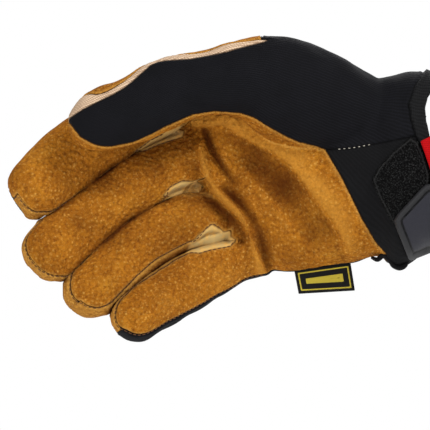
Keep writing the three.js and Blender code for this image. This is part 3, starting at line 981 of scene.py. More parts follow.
@dataclass(frozen=True)
class SeamTable:
    """The angle of a seam round a finger, from the middle of its palm side, in degrees."""

    share: tuple[float, ...]
    degrees: tuple[float, ...]

    def angle(self, share: Array) -> Array:
        """The seam's angle at shares of the finger's length, in radians."""
        return np.radians(np.interp(share, self.share, self.degrees))


FRONT_SEAMS = {
    ("index", Side.THUMB): SeamTable((0.0, 1.0), (118.0, 112.0)),
    ("index", Side.LITTLE): SeamTable((0.2, 0.34, 0.42, 0.6, 1.0), (58.0, 57.0, 68.0, 74.0, 72.0)),
    ("middle", Side.THUMB): SeamTable((0.2, 0.4, 0.6, 0.85, 1.0), (64.0, 72.0, 80.0, 72.0, 66.0)),
    ("middle", Side.LITTLE): SeamTable((0.2, 0.34, 0.42, 0.6, 1.0), (50.0, 54.0, 62.0, 70.0, 68.0)),
    ("ring", Side.THUMB): SeamTable((0.2, 0.4, 0.6, 0.85, 1.0), (66.0, 72.0, 78.0, 66.0, 60.0)),
    ("ring", Side.LITTLE): SeamTable((0.2, 0.36, 0.5, 0.75, 1.0), (38.0, 44.0, 46.0, 44.0, 52.0)),
    ("little", Side.THUMB): SeamTable((0.2, 0.4, 0.6, 0.85, 1.0), (52.0, 54.0, 62.0, 70.0, 68.0)),
    ("little", Side.LITTLE): SeamTable((0.0, 0.4, 0.7, 1.0), (76.0, 66.0, 56.0, 52.0)),
}
BACK_SEAM = math.radians(124.0)
GUSSET_STARTS = {
    ("index", Side.LITTLE): 0.235,
    ("middle", Side.THUMB): 0.335,
    ("middle", Side.LITTLE): 0.24,
    ("ring", Side.THUMB): 0.33,
    ("ring", Side.LITTLE): 0.235,
    ("little", Side.THUMB): 0.30,
}
GUSSETS = {
    "gusset_index_middle": (("index", Side.LITTLE), ("middle", Side.THUMB)),
    "gusset_middle_ring": (("middle", Side.LITTLE), ("ring", Side.THUMB)),
    "gusset_ring_little": (("ring", Side.LITTLE), ("little", Side.THUMB)),
}

# The gussets' smooth leather, where it shows between the roots of the fingers
ROOT_OUTLINES = {
    "gusset_index_middle": (
        (-136.5, 6.0), (-130.0, 10.9), (-122.7, 14.5), (-117.3, 16.6), (-114.5, 15.7), (-115.2, 12.9),
        (-120.0, 11.4), (-126.4, 9.3), (-131.8, 6.8),
    ),
    "gusset_middle_ring": (
        (-124.0, -14.4), (-120.9, -10.2), (-115.5, -7.5), (-108.8, -7.6), (-105.7, -9.8),
        (-107.5, -12.4), (-114.1, -12.2), (-119.5, -14.2),
    ),
    "gusset_ring_little": (
        (-112.0, -39.6), (-108.8, -33.0), (-101.9, -26.8), (-98.2, -29.1), (-91.2, -34.2),
        (-93.4, -36.8), (-102.7, -38.4), (-107.6, -39.9),
    ),
}

# Lines seen from the palm, as x and z
THUMB_UPPER_EDGE = (
    (-175.0, 14.0), (-165.1, 21.4), (-159.8, 24.7), (-154.7, 27.3), (-150.0, 29.6), (-145.5, 31.7),
    (-140.8, 34.7), (-137.3, 37.5), (-134.5, 40.2), (-129.4, 44.8), (-126.1, 46.2), (-121.9, 46.9),
    (-111.3, 47.5), (-106.6, 48.4), (-95.5, 50.5), (-89.0, 52.5), (-78.6, 55.2), (-70.0, 59.5),
)
THUMB_LOWER_EDGE = (
    (-172.0, 22.0), (-165.7, 18.3), (-161.0, 12.3), (-155.3, 9.1), (-151.6, 8.0), (-147.4, 7.8),
    (-137.0, 9.9), (-128.5, 13.6), (-123.0, 16.7), (-110.6, 22.2), (-100.5, 23.8), (-88.9, 22.9),
    (-83.1, 21.0), (-75.8, 16.5), (-68.1, 12.4), (-62.4, 9.9), (-55.4, 8.3), (-50.7, 6.8), (-41.0, 7.2),
    (-29.0, 9.1), (-10.0, 12.7), (12.0, 16.0),
)
WRIST_EDGE = (
    (-56.0, 16.0), (-50.7, 6.8), (-43.3, -5.8), (-34.3, -24.1), (-27.5, -35.6), (-23.5, -40.0),
    (-18.0, -52.0),
)
CUFF_EDGE = (
    (-0.5, 60.0), (-0.8, 38.0), (-5.2, 31.0), (-6.2, 25.5), (-5.8, 20.0), (-4.2, 13.0), (4.0, 4.0),
    (5.2, -20.0), (5.0, -60.0),
)
BINDING_EDGE = (
    (-3.5, 60.0), (-4.5, 45.0), (-6.0, 42.0), (-10.5, 35.5), (-13.6, 27.3), (-12.7, 20.5),
    (-10.7, 13.0), (-6.0, 4.0), (-4.0, -6.0), (-4.0, -60.0),
)
# Where the pale strip ends towards the wrist, and how far in front of the thumb's middle it begins, by x
STRIP_END = -74.5
STRIP_TOP_LEVEL = (
    (-164.0, -1.0), (-160.5, -0.8), (-156.5, 4.2), (-151.5, 6.5), (-146.0, 6.2), (-139.5, 5.2),
    (-135.0, 2.4), (-131.0, -0.6), (-121.5, -0.6), (-116.0, 2.0), (-110.0, 3.6), (-99.0, 4.5),
    (-91.0, 5.5), (-86.0, 6.5),
)
# y of the side seams, where the palm side's panels meet the back
SIDE_DEPTH = 10.0


@dataclass
class Panels:
    """Cuts the hand's skin into the glove's panels along their seams.

    Fields fall by fade for each unit of weight that a place lacks, and by other_fade for each
    that it has in a form which isn't the panel's.
    """

    skin: Skin
    fade: float = 12.0
    other_fade: float = 30.0
    index_turn: float = 4.0
    root_depth: tuple[float, float] = (15.0, 12.0)
    root_fall: float = 6.0
    finger_blend: float = 3.0
    palm_blend: float = 6.0
    thumb_root: tuple[float, float] = (-96.0, -70.0)
    panel_root: tuple[float, float] = (-92.0, -70.0)
    # How far behind the thumb's middle its back panel ends, and how far the pale strip goes past it
    thumb_seam: float = 3.0
    strip_turn: float = 2.0
    palm_seams: tuple[float, float] = (104.0, 82.0)
    palm_radius: float = 20.0

    def mix(self, own: dict[str, Array]) -> Array:
        """Each form's own field, blended by how much of a point belongs to the form."""
        weight = sum(self.skin.data[f"{name}_weight"] for name in own)
        total = sum(self.skin.data[f"{name}_weight"] * values for name, values in own.items())
        return total / np.maximum(weight, 1e-6)

    def finger_front(self, name: str) -> Array:
        """Distance inside the palm-side leather of a finger, negative past its seams."""
        data = self.skin.data
        share = np.clip(data[f"{name}_share"], 0, 1)
        half = data[f"{name}_radius"]
        sides = [FRONT_SEAMS[name, side].angle(share) for side in Side]
        lean = smooth_step(-self.finger_blend, self.finger_blend, data[f"{name}_across"])
        seam = sides[0] * (1 - lean) + sides[1] * lean
        return (seam - data[f"{name}_around"]) * half

    def gusset_half(self, name: str, side: Side) -> Array:
        """Distance inside one wall of a gusset, along one finger."""
        data = self.skin.data
        share = data[f"{name}_share"]
        around = data[f"{name}_around"]
        half = data[f"{name}_radius"]
        seam = FRONT_SEAMS[name, side].angle(np.clip(share, 0, 1))
        turn = self.index_turn if name == "index" else 0.0
        walls = [
            (around - seam) * half,
            (BACK_SEAM - around) * half,
            (share - GUSSET_STARTS[name, side]) * DIGITS[name].length,
            side.value * data[f"{name}_across"] + turn,
        ]
        return np.minimum.reduce(walls)

    def gusset(self, name: str) -> Array:
        """Distance inside a gusset: its two walls, joined where the fingers meet."""
        data = self.skin.data
        first, second = GUSSETS[name]
        fingers = [finger for finger, _ in (first, second)]
        both = sum(data[f"{finger}_weight"] for finger in fingers)
        palm = data["palm_weight"] * smooth_step(0.0, 0.5, both)
        walls = [
            self.gusset_half(finger, side) - self.fade * (1 - data[f"{finger}_weight"] - palm)
            for finger, side in (first, second)
        ]
        others = [key for key in (*FINGERS, "thumb") if key not in fingers]
        away = self.other_fade * sum(data[f"{key}_weight"] for key in others)
        best = np.where(both > 0.02, np.maximum(*walls), -self.fade) - away
        x, y, z = self.skin.points.T
        front = smooth_step(*self.root_depth, y)
        root = outline_depth(x, z, ROOT_OUTLINES[name]) - self.root_fall * (1 - front)
        return np.maximum(best, root)

    def thumb_strip(self, above: Array) -> Array:
        """Distance inside the pale strip, from that over the black panel's upper edge."""
        x = self.skin.points[:, 0]
        facing = -self.skin.data["thumb_depth"]
        level = sum(np.interp(x + step, *zip(*STRIP_TOP_LEVEL)) for step in (-2.5, 0.0, 2.5)) / 3
        return np.minimum.reduce([
            np.where(facing > 0, above, 4.0),
            facing - level,
            -self.skin.data["thumb_across"] + self.strip_turn,
            STRIP_END - x,
            (self.skin.data["thumb_weight"] - 0.5) * 10,
        ])

    def thumb_back(self, above: Array) -> Array:
        """Distance inside the black panel of the thumb, from that over its upper edge."""
        x, y, z = self.skin.points.T
        root = smooth_step(*self.thumb_root, x)
        out_front = -self.skin.data["thumb_depth"] * (1 - root) + (SIDE_DEPTH - y) * root
        belongs = self.skin.data["thumb_weight"] + smooth_step(*self.panel_root, x)
        return np.minimum.reduce([
            np.where(x < STRIP_END - 4.0, -above, np.maximum(-above, 5.0)),
            line_side(x, z, THUMB_LOWER_EDGE),
            out_front + self.thumb_seam,
            (belongs - 0.5) * self.fade,
        ])

    def fields(self) -> None:
        """Writes each panel's field onto the skin: positive inside, in millimetres."""
        data = self.skin.data
        x, y, z = self.skin.points.T
        front = self.mix({name: self.finger_front(name) for name in FINGERS} | {"palm": self.palm_front()})
        above = line_side(x, z, THUMB_UPPER_EDGE)
        data["trim"] = -line_side(x, z, CUFF_EDGE)
        data["thumb_gusset"] = self.thumb_strip(above)
        for name in GUSSETS:
            data[name] = self.gusset(name)
        data["cuff_binding"] = line_side(x, z, BINDING_EDGE)
        data["thumb_back_panel"] = self.thumb_back(above)
        data["wrist_panel"] = np.minimum(line_side(x, z, WRIST_EDGE), SIDE_DEPTH - y)
        pad = np.maximum(data["thumb_depth"] + self.thumb_seam, self.thumb_seam)
        data["palm_leather"] = np.where(data["thumb_weight"] > 0.5, pad, np.maximum(front, -20.0))

    def palm_front(self) -> Array:
        """Distance inside the palm-side leather of the palm, negative past its side seams."""
        data = self.skin.data
        lean = smooth_step(-self.palm_blend, self.palm_blend, data["palm_across"])
        upper, lower = np.radians(self.palm_seams)
        seam = upper * (1 - lean) + lower * lean
        return (seam - data["palm_around"]) * self.palm_radius


PANEL_ORDER = (
    "thumb_gusset",
    "gusset_index_middle",
    "gusset_middle_ring",
    "gusset_ring_little",
    "cuff_binding",
    "thumb_back_panel",
    "wrist_panel",
    "palm_leather",
)


# Shader expressions

Number = float | int
Colour = tuple[float, float, float, float]


@dataclass
class Value:
    """A shader socket that takes part in sums, each of which adds a Math node."""

    shader: "Shader"
    socket: bpy.types.NodeSocket

    def _sum(self, operation: str, first: "Value | Number", second: "Value | Number") -> "Value":
        """A Math node of two terms."""
        made = self.shader.node("ShaderNodeMath", {"operation": operation}, {0: first, 1: second})
        return Value(self.shader, made.outputs[0])

    def __add__(self, other: "Value | Number") -> "Value":
        """self + other."""
        return self._sum("ADD", self, other)

    def __sub__(self, other: "Value | Number") -> "Value":
        """self - other."""
        return self._sum("SUBTRACT", self, other)

    def __rsub__(self, other: Number) -> "Value":
        """other - self."""
        return self._sum("SUBTRACT", other, self)

    def __mul__(self, other: "Value | Number") -> "Value":
        """self * other."""
        return self._sum("MULTIPLY", self, other)

    def sine(self) -> "Value":
        """The sine of self in radians."""
        return self._sum("SINE", self, 0.0)

    def at_least(self, other: "Value | Number") -> "Value":
        """The larger of two."""
        return self._sum("MAXIMUM", self, other)

    def between(self, low: float, high: float) -> "Value":
        """0 below low, 1 above high, and smooth between."""
        settings = {"interpolation_type": "SMOOTHSTEP"}
        inputs = {"Value": self, "From Min": low, "From Max": high}
        return Value(self.shader, self.shader.node("ShaderNodeMapRange", settings, inputs).outputs[0])

    def under(self, low: float, high: float) -> "Value":
        """1 below low, 0 above high, and smooth between."""
        return 1.0 - self.between(low, high)


def linear(red: int, green: int, blue: int) -> Colour:
    """A display colour from 0 to 255 as linear light."""
    parts = [value / 255 for value in (red, green, blue)]
    parts = [v / 12.92 if v <= 0.04045 else ((v + 0.055) / 1.055) ** 2.4 for v in parts]
    return (*parts, 1.0)


class Shader:
    """One material and the nodes that feed its surface."""

    def __init__(self, name: str, **fixed: float | Colour) -> None:
        """Starts a material.

        Args:
            name: The material's name.
            fixed: Values of the surface's own sockets, with _ for a space.
        """
        self.material = bpy.data.materials.new(name)
        self.material.use_nodes = True
        self.tree = self.material.node_tree
        self.surface = self.tree.nodes["Principled BSDF"]
        for key, value in fixed.items():
            self.surface.inputs[key.replace("_", " ")].default_value = value
        self.place = self.node("ShaderNodeTexCoord").outputs["Object"]

    def node(
        self,
        kind: str,
        settings: dict[str, object] | None = None,
        inputs: dict[str | int, object] | None = None,
    ) -> bpy.types.Node:
        """Adds a node.

        Args:
            kind: The node's type.
            settings: Its own settings, set before its sockets.
            inputs: Values or links of its sockets, by name or number.

        Returns:
            The node.
        """
        made = self.tree.nodes.new(kind)
        for key, value in (settings or {}).items():
            setattr(made, key, value)
        for key, value in (inputs or {}).items():
            if isinstance(value, Value):
                self.tree.links.new(value.socket, made.inputs[key])
            elif isinstance(value, bpy.types.NodeSocket):
                self.tree.links.new(value, made.inputs[key])
            else:
                made.inputs[key].default_value = value
        return made

    def noise(self, scale: float, detail: float = 3, rough: float = 0.5, warp: float = 0) -> Value:
        """Noise from 0 to 1; scale counts bumps in a metre."""
        inputs = {"Vector": self.place, "Scale": scale, "Detail": detail}
        inputs |= {"Roughness": rough, "Distortion": warp}
        return Value(self, self.node("ShaderNodeTexNoise", None, inputs).outputs["Fac"])

    def cells(self, scale: float, feature: str = "F1", random: float = 1.0) -> Value:
        """Distance to the nearest of scattered points."""
        inputs = {"Vector": self.place, "Scale": scale, "Randomness": random}
        made = self.node("ShaderNodeTexVoronoi", {"feature": feature}, inputs)
        return Value(self, made.outputs["Distance"])

    def attribute(self, name: str) -> Value:
        """A number kept on the piece's points."""
        return Value(self, self.node("ShaderNodeAttribute", {"attribute_name": name}).outputs["Fac"])

    def mix(self, mask: Value | float, low: Value | Colour, high: Value | Colour) -> Value:
        """A colour between two, by a mask."""
        made = self.node("ShaderNodeMix", {"data_type": "RGBA"}, {0: mask, 6: low, 7: high})
        return Value(self, made.outputs[2])

    def colour(self, value: Value) -> None:
        """Feeds the base colour."""
        self.tree.links.new(value.socket, self.surface.inputs["Base Color"])

    def roughness(self, value: Value) -> None:
        """Feeds the roughness."""
        self.tree.links.new(value.socket, self.surface.inputs["Roughness"])

    def bump(self, height: Value, depth: float, strength: float = 1.0) -> None:
        """Raises the surface by height times depth in metres, over what is there."""
        inputs = {"Height": height, "Distance": depth, "Strength": strength}
        normal = self.surface.inputs["Normal"]
        if normal.links:
            inputs["Normal"] = normal.links[0].from_socket
        made = self.node("ShaderNodeBump", None, inputs)
        self.tree.links.new(made.outputs[0], normal)


@dataclass(frozen=True)
class Suede:
    """Rough-out leather: a short nap in soft clumps, pale flecks, dark seams, painted shade in creases and
    painted highlight on ridges.
    """

    name: str = "suede"
    light: Colour = linear(202, 138, 42)
    mid: Colour = linear(174, 106, 24)
    dark: Colour = linear(120, 62, 12)
    fleck: Colour = linear(228, 172, 84)
    # Painted shade in creases and where fingers touch, also the darker patches of tone
    deep: Colour = linear(80, 36, 5)
    # Painted highlight on ridges, also the paler patches of tone
    painted_highlight_and_pale_tone: Colour = linear(206, 142, 52)
    seam: Colour = linear(58, 28, 8)
    smooth: Colour = linear(190, 162, 106)
    bare: float = 0.0

    def material(self) -> bpy.types.Material:
        """The finished material."""
        s = Shader(self.name, Roughness=0.95, Specular_IOR_Level=0.08)
        clump = s.noise(440, 3, 0.6)
        grain = s.noise(2300, 2, 0.6)
        tone = s.noise(38, 3, 0.55) * 0.6 + s.noise(170, 4, 0.6, warp=0.4) * 0.4 + clump * 0.3 - 0.18
        base = s.mix(tone.between(0.15, 0.6), self.dark, self.mid)
        base = s.mix(tone.between(0.45, 0.84), base, self.light)
        pebble = s.cells(490, "F1", 0.9)
        flecks = pebble.under(0.08, 0.4) * s.noise(370, 3, 0.6).between(0.42, 0.56)
        base = s.mix(pebble.between(0.45, 0.8) * 0.45, base, self.dark)
        base = s.mix(flecks * 0.6, base, self.fleck)
        base = s.mix(s.noise(1000, 2, 0.5).between(0.54, 0.7) * 0.3, base, self.fleck)
        base = s.mix(grain.between(0.35, 0.7) * 0.3, base, self.light)
        base = s.mix(s.noise(640, 2, 0.5).between(0.53, 0.73) * 0.6, base, self.dark)
        bare = s.attribute("bare") * self.bare
        base = s.mix(bare, base, s.mix(s.noise(300, 3, 0.6).between(0.4, 0.8), self.smooth, self.fleck))
        # Painted shade in creases and where fingers touch, painted highlight on ridges, and tone in random
        # patches and on two fingers
        hollow = s.attribute("hollow") + (s.noise(210, 3, 0.6) - 0.5) * 0.2
        base = s.mix(hollow.at_least(0.0) * (0.95 - bare * 0.45), base, self.deep)
        base = s.mix((0.0 - hollow).between(0.0, 1.0) * 0.6 * (1.0 - bare), base, self.painted_highlight_and_pale_tone)
        edge = s.attribute("edge") + (s.noise(900, 2, 0.5) - 0.5) * 0.5
        base = s.mix(edge.under(0.4, 2.0) * 0.35, base, self.fleck)
        base = s.mix(edge.under(0.1, 0.5) * (0.9 - s.attribute("bare") * 0.45), base, self.seam)
        s.colour(base)
        nap = 1.0 - bare
        s.bump((clump - pebble) * nap, 0.0018, 0.85)
        s.bump((grain + s.noise(5200, 2, 0.5) * 0.6) * nap, 0.0004, 0.8)
        return s.material


@dataclass(frozen=True)
class Weave:
    """Woven or ribbed cloth: fine ribs along the piece, crossed by a finer thread."""

    name: str
    high: Colour
    low: Colour
    rib: float = 1.05
    thread: float = 0.55
    depth: float = 0.0003
    roughness: float = 0.8
    shine: float = 0.1
    seam: Colour = linear(8, 8, 9)

    def material(self) -> bpy.types.Material:
        """The finished material."""
        s = Shader(self.name, Roughness=self.roughness, Specular_IOR_Level=self.shine)
        along = s.attribute("along")
        wrap = s.attribute("wrap")
        wave = s.noise(300, 2, 0.5) * 0.7
        rib = ((wrap + wave) * (2 * math.pi / self.rib)).sine() * 0.5 + 0.5
        cross = ((along + wrap * 0.35) * (2 * math.pi / self.thread)).sine() * 0.5 + 0.5
        cloth = rib * 0.65 + cross * 0.35
        base = s.mix(cloth, self.low, self.high)
        base = s.mix(s.noise(90, 3, 0.5).between(0.35, 0.75) * 0.35, base, self.low)
        edge = s.attribute("edge") + (s.noise(900, 2, 0.5) - 0.5) * 0.3
        base = s.mix(edge.under(0.15, 0.6) * 0.85, base, self.seam)
        s.colour(base)
        s.bump(cloth, self.depth, 0.8)
        return s.material


@dataclass(frozen=True)
class Plain:
    """A smooth moulded or dyed surface with fine unevenness."""

    name: str
    high: Colour
    low: Colour
    roughness: float = 0.5
    grain: float = 900.0
    depth: float = 0.00008

    def material(self) -> bpy.types.Material:
        """The finished material."""
        s = Shader(self.name, Specular_IOR_Level=0.45)
        speck = s.noise(self.grain, 3, 0.6)
        s.colour(s.mix(speck.between(0.3, 0.7), self.low, self.high))
        s.roughness(s.noise(60, 3, 0.5) * 0.2 + (self.roughness - 0.1))
        s.bump(speck + s.noise(self.grain * 4, 2, 0.5) * 0.5, self.depth, 0.8)
        return s.material


@dataclass(frozen=True)
class Pile:
    """Matt loop pile: scattered loops with lit tops, and a sewn line near the edge."""

    name: str = "loop_pile"
    high: Colour = linear(56, 56, 56)
    low: Colour = linear(10, 10, 10)

    def material(self) -> bpy.types.Material:
        """The finished material."""
        s = Shader(self.name, Roughness=0.95, Specular_IOR_Level=0.05)
        loops = s.cells(1500, "SMOOTH_F1", 1.0)
        fuzz = s.noise(2600, 3, 0.7)
        lit = loops.under(0.15, 0.55) * fuzz.between(0.4, 0.62)
        inside = s.attribute("inside")
        line = inside.between(0.5, 0.8) * inside.under(1.1, 1.5)
        base = s.mix(lit * 0.85, self.low, self.high)
        base = s.mix(line * 0.4, base, self.high)
        s.colour(base)
        s.bump(fuzz - loops, 0.0006, 1.0)
        return s.material


@dataclass(frozen=True)
class Rubber:
    """Satin moulded rubber, darker on its face than on its rim, with painted shade in the groove."""

    name: str = "tab_rubber"
    rim: Colour = linear(37, 37, 39)
    face: Colour = linear(36, 36, 44)
    # Painted shade in the groove
    groove: Colour = linear(8, 8, 9)

    def material(self) -> bpy.types.Material:
        """The finished material."""
        s = Shader(self.name, Specular_IOR_Level=0.22)
        inside = s.attribute("inside")
        speck = s.noise(1400, 3, 0.6)
        base = s.mix(inside.between(2.4, 3.4), self.rim, self.face)
        # A near-black line of painted shade along the groove
        line = inside.between(2.4, 2.8) * inside.under(3.2, 3.8)
        base = s.mix(line * 0.9, base, self.groove)
        base = s.mix(speck.between(0.45, 0.75) * 0.18, base, self.rim)
        s.colour(base)
        s.roughness(s.noise(90, 3, 0.5) * 0.25 + 0.42)
        s.bump(speck + s.noise(5200, 2, 0.5) * 0.5, 0.00008, 0.8)
        return s.material


@dataclass(frozen=True)
class WovenLabel:
    """A black woven label with a plain gold frame and a plain gold bar."""

    name: str = "label_weave"
    ground: Colour = linear(22, 22, 20)
    gold: Colour = linear(205, 184, 62)
    thread: float = 0.42

    def material(self) -> bpy.types.Material:
        """The finished material."""
        s = Shader(self.name, Roughness=0.75, Specular_IOR_Level=0.15)
        inside = s.attribute("inside") + (s.noise(1800, 1, 0.5) - 0.5) * 0.12
        border = inside.between(1.25, 1.4) * inside.under(1.85, 2.0)
        bar = inside.between(4.3, 4.45) * inside.under(5.9, 6.05)
        thread = (s.attribute("along") * (2 * math.pi / self.thread)).sine() * 0.5 + 0.5
        shine = s.mix(thread * 0.35, self.gold, self.ground)
        cloth = s.mix(s.noise(2400, 2, 0.5) * 0.4, self.ground, (0, 0, 0, 1))
        base = s.mix(border.at_least(bar), cloth, shine)
        s.colour(base)
        s.bump(thread + border.at_least(bar), 0.00012, 0.8)
        return s.material


PALM_SUEDE = Suede()
SIDE_SUEDE = Suede("side_suede", linear(214, 158, 70), linear(190, 130, 50), linear(136, 84, 28), bare=1.0)
BLACK_CLOTH = Weave("black_cloth", linear(20, 20, 25), linear(7, 7, 9), 0.95, 0.6, 0.00016)
BINDING_CLOTH = Weave("binding_cloth", linear(27, 27, 28), linear(13, 13, 14), 0.8, 0.8, 0.0002)
PALE_CLOTH = Weave(
    "pale_cloth", linear(236, 206, 174), linear(158, 128, 102), 1.3, 1.1, 0.0003, seam=linear(58, 40, 26)
)
WRIST_CLOTH = Weave("wrist_cloth", linear(18, 18, 20), linear(11, 11, 12), 0.7, 0.6, 0.0001)
RED_CLOTH = Weave("red_tape", linear(186, 8, 15), linear(152, 4, 9), 0.9, 0.7, 0.0001)
DARK_THREAD = Plain("dark_thread", linear(112, 70, 32), linear(78, 46, 18), 0.8, 3000)
PALE_THREAD = Plain("pale_thread", linear(190, 184, 170), linear(140, 134, 120), 0.7, 3000)


# What is sewn on


@dataclass
class Front:
    """The glove's palm side as a height over x and z.

    The height at a place is the mean of the skin's y near it, weighted by exp(-d^2 / blur).
    """

    points: Array
    blur: float = 1.69
    margin: float = 4.0

    def height(self, x: Array, z: Array) -> Array:
        """The skin's y under places seen from the palm."""
        near = self.points
        for column, wanted in ((0, x), (2, z)):
            above = near[:, column] > wanted.min() - self.margin
            near = near[above & (near[:, column] < wanted.max() + self.margin)]
        total = np.empty(len(x))
        for low in range(0, len(x), BATCH):
            part = slice(low, low + BATCH)
            square = (x[part, None] - near[:, 0]) ** 2 + (z[part, None] - near[:, 2]) ** 2
            weight = np.exp(-square / self.blur) + 1e-12 / (square + 1.0) ** 4
            total[part] = (weight * near[:, 1]).sum(axis=1) / weight.sum(axis=1)
        return total


@dataclass
class Plate:
    """A flat part sewn onto the glove, which follows it.

    Its top stands thick + lift over the skin, falls by a quarter round at the edge, and has
    a line raised by height exp(-((e - place) / width)^2) for each line, where e is the
    distance inside its outline.
    """

    name: str
    outline: Outline
    thick: float
    lift: float
    edge: float = 0.6
    lines: tuple[tuple[float, float, float], ...] = ()
    flat: float | None = None
    pitch: float = 0.45

    def skin(self, front: Front) -> Skin:
        """The part as a closed skin."""
        corners = np.array(self.outline)
        low, high = corners.min(axis=0) - 1, corners.max(axis=0) + 1
        counts = np.ceil((high - low) / self.pitch).astype(int) + 1
        axes = [np.linspace(*ends) for ends in zip(low, high, counts)]
        x, z = [axis.ravel() for axis in np.meshgrid(*axes)]
        quads = grid_faces(counts[1], counts[0], closed=False)
        faces = np.vstack([quads[:, [0, 1, 2]], quads[:, [0, 2, 3]]])
        depth = outline_depth(x, z, self.outline)
        under = np.full(len(x), self.flat) if self.flat is not None else front.height(x, z)
        drop = np.clip(1 - depth / self.edge, 0, 1)
        top = self.thick + self.lift - self.edge * (1 - np.sqrt(1 - drop**2))
        for place, width, height in self.lines:
            top = top + height * bell(depth - place, width)
        none = np.zeros(len(x))
        data = {"inside": depth, "edge": depth + 5.0, "along": x.copy(), "wrap": z.copy()}
        data |= {"hollow": none, "nx": none, "ny": none - 1, "nz": none}
        sheet, _ = Skin(np.stack([x, under - top, z], axis=1), faces, data).split("inside")
        return sheet.thickened(self.thick)


@dataclass
class Stitches:
    """A row of stitches: short rods along a path, raised in the middle.

    A rod's point at share t and angle u is p + t length tangent + r(t) (cos u side + sin u
    normal), where r falls to nothing at both ends.
    """

    pitch: float = 2.2
    length: float = 1.6
    radius: float = 0.22
    # Columns: share of the length, share of the radius
    profile: tuple[tuple[float, float], ...] = (
        (-0.5, 0.05), (-0.42, 0.7), (-0.2, 1.0), (0.2, 1.0), (0.42, 0.7), (0.5, 0.05),
    )
    sides: int = 6
    bow: float = 0.5
    aside: float = 0.6

    def rods(self, path: Array, normals: Array) -> tuple[Array, Array]:
        """Points and quads of the rods.

        Args:
            path: Points of the seam, in order.
            normals: The skin's normals there.

        Returns:
            Points and quads.
        """
        run = run_of(path)
        wanted = np.arange(self.pitch / 2, run[-1], self.pitch)
        place = at_run(path, run, wanted)
        up = unit(at_run(normals, run, wanted))
        tangent = unit(at_run(path, run, wanted + self.aside) - at_run(path, run, wanted - self.aside))
        side = unit(np.cross(tangent, up))
        share, thick = np.array(self.profile).T
        thick = thick * self.radius
        angle = np.arange(self.sides) * 2 * math.pi / self.sides
        rise = (0.25 - share**2) * self.bow
        core = place[:, None] + (share * self.length)[None, :, None] * tangent[:, None]
        core = core + rise[None, :, None] * up[:, None]
        spoke = np.cos(angle)[:, None] * side[:, None] + np.sin(angle)[:, None] * up[:, None]
        points = core[:, :, None] + thick[None, :, None, None] * spoke[:, None]
        first = np.arange(len(place)) * len(share) * len(angle)
        faces = grid_faces(len(share), len(angle))[None] + first[:, None, None]
        return points.reshape(-1, 3), faces.reshape(-1, 4)


LOOP_PATCH = Plate(
    "loop_patch",
    (
        (-12.5, 12.5), (-20.0, 6.4), (-27.0, -1.2), (-30.0, -7.0), (-26.7, -15.4), (-20.6, -27.0),
        (-6.0, -27.0), (-4.0, -4.5), (-7.0, 5.0), (-9.2, 10.0),
    ),
    thick=1.2,
    lift=0.3,
    lines=((0.9, 0.4, 0.3),),
)
CLOSURE_TAB = Plate(
    "closure_tab",
    (
        (-20.0, -25.0), (-18.6, -22.6), (-8.4, -11.4), (-6.1, -9.2), (-2.7, -8.5), (4.4, -8.9),
        (4.4, -37.4), (-2.7, -39.8), (-11.8, -43.4), (-13.1, -42.6), (-19.2, -28.2),
    ),
    thick=2.4,
    lift=1.8,
    edge=0.9,
    lines=((1.3, 1.0, 0.6), (3.0, 0.45, -0.7)),
)
PULL_TAB = Plate(
    "pull_tab",
    ((-8.3, 10.3), (-2.3, 13.4), (3.6, 9.0), (4.2, -6.2), (-1.8, -6.2), (-3.4, -3.8), (-6.4, 5.0)),
    thick=1.3,
    lift=2.0,
    edge=0.5,
)
SIDE_LABEL = Plate(
    "side_label",
    ((-64.4, -48.0), (-38.8, -44.4), (-36.8, -57.1), (-62.4, -58.6)),
    thick=0.9,
    lift=0.0,
    edge=0.3,
    flat=1.9,
)
# Columns: x, y, z, radius
HEM = (
    (-29.4, -6.0, -42.0, 0.7),
    (-26.8, -7.0, -42.9, 1.1),
    (-24.1, -8.0, -40.9, 1.3),
    (-21.2, -9.0, -43.2, 1.3),
    (-19.2, -9.5, -45.7, 1.3),
    (-16.8, -9.5, -46.5, 1.4),
    (-14.7, -9.5, -45.6, 1.3),
    (-13.4, -9.0, -43.4, 1.0),
)
WRIST_STITCHES = ((-45.5, 6.9), (-38.0, 7.6), (-29.0, 9.3))


# The stage


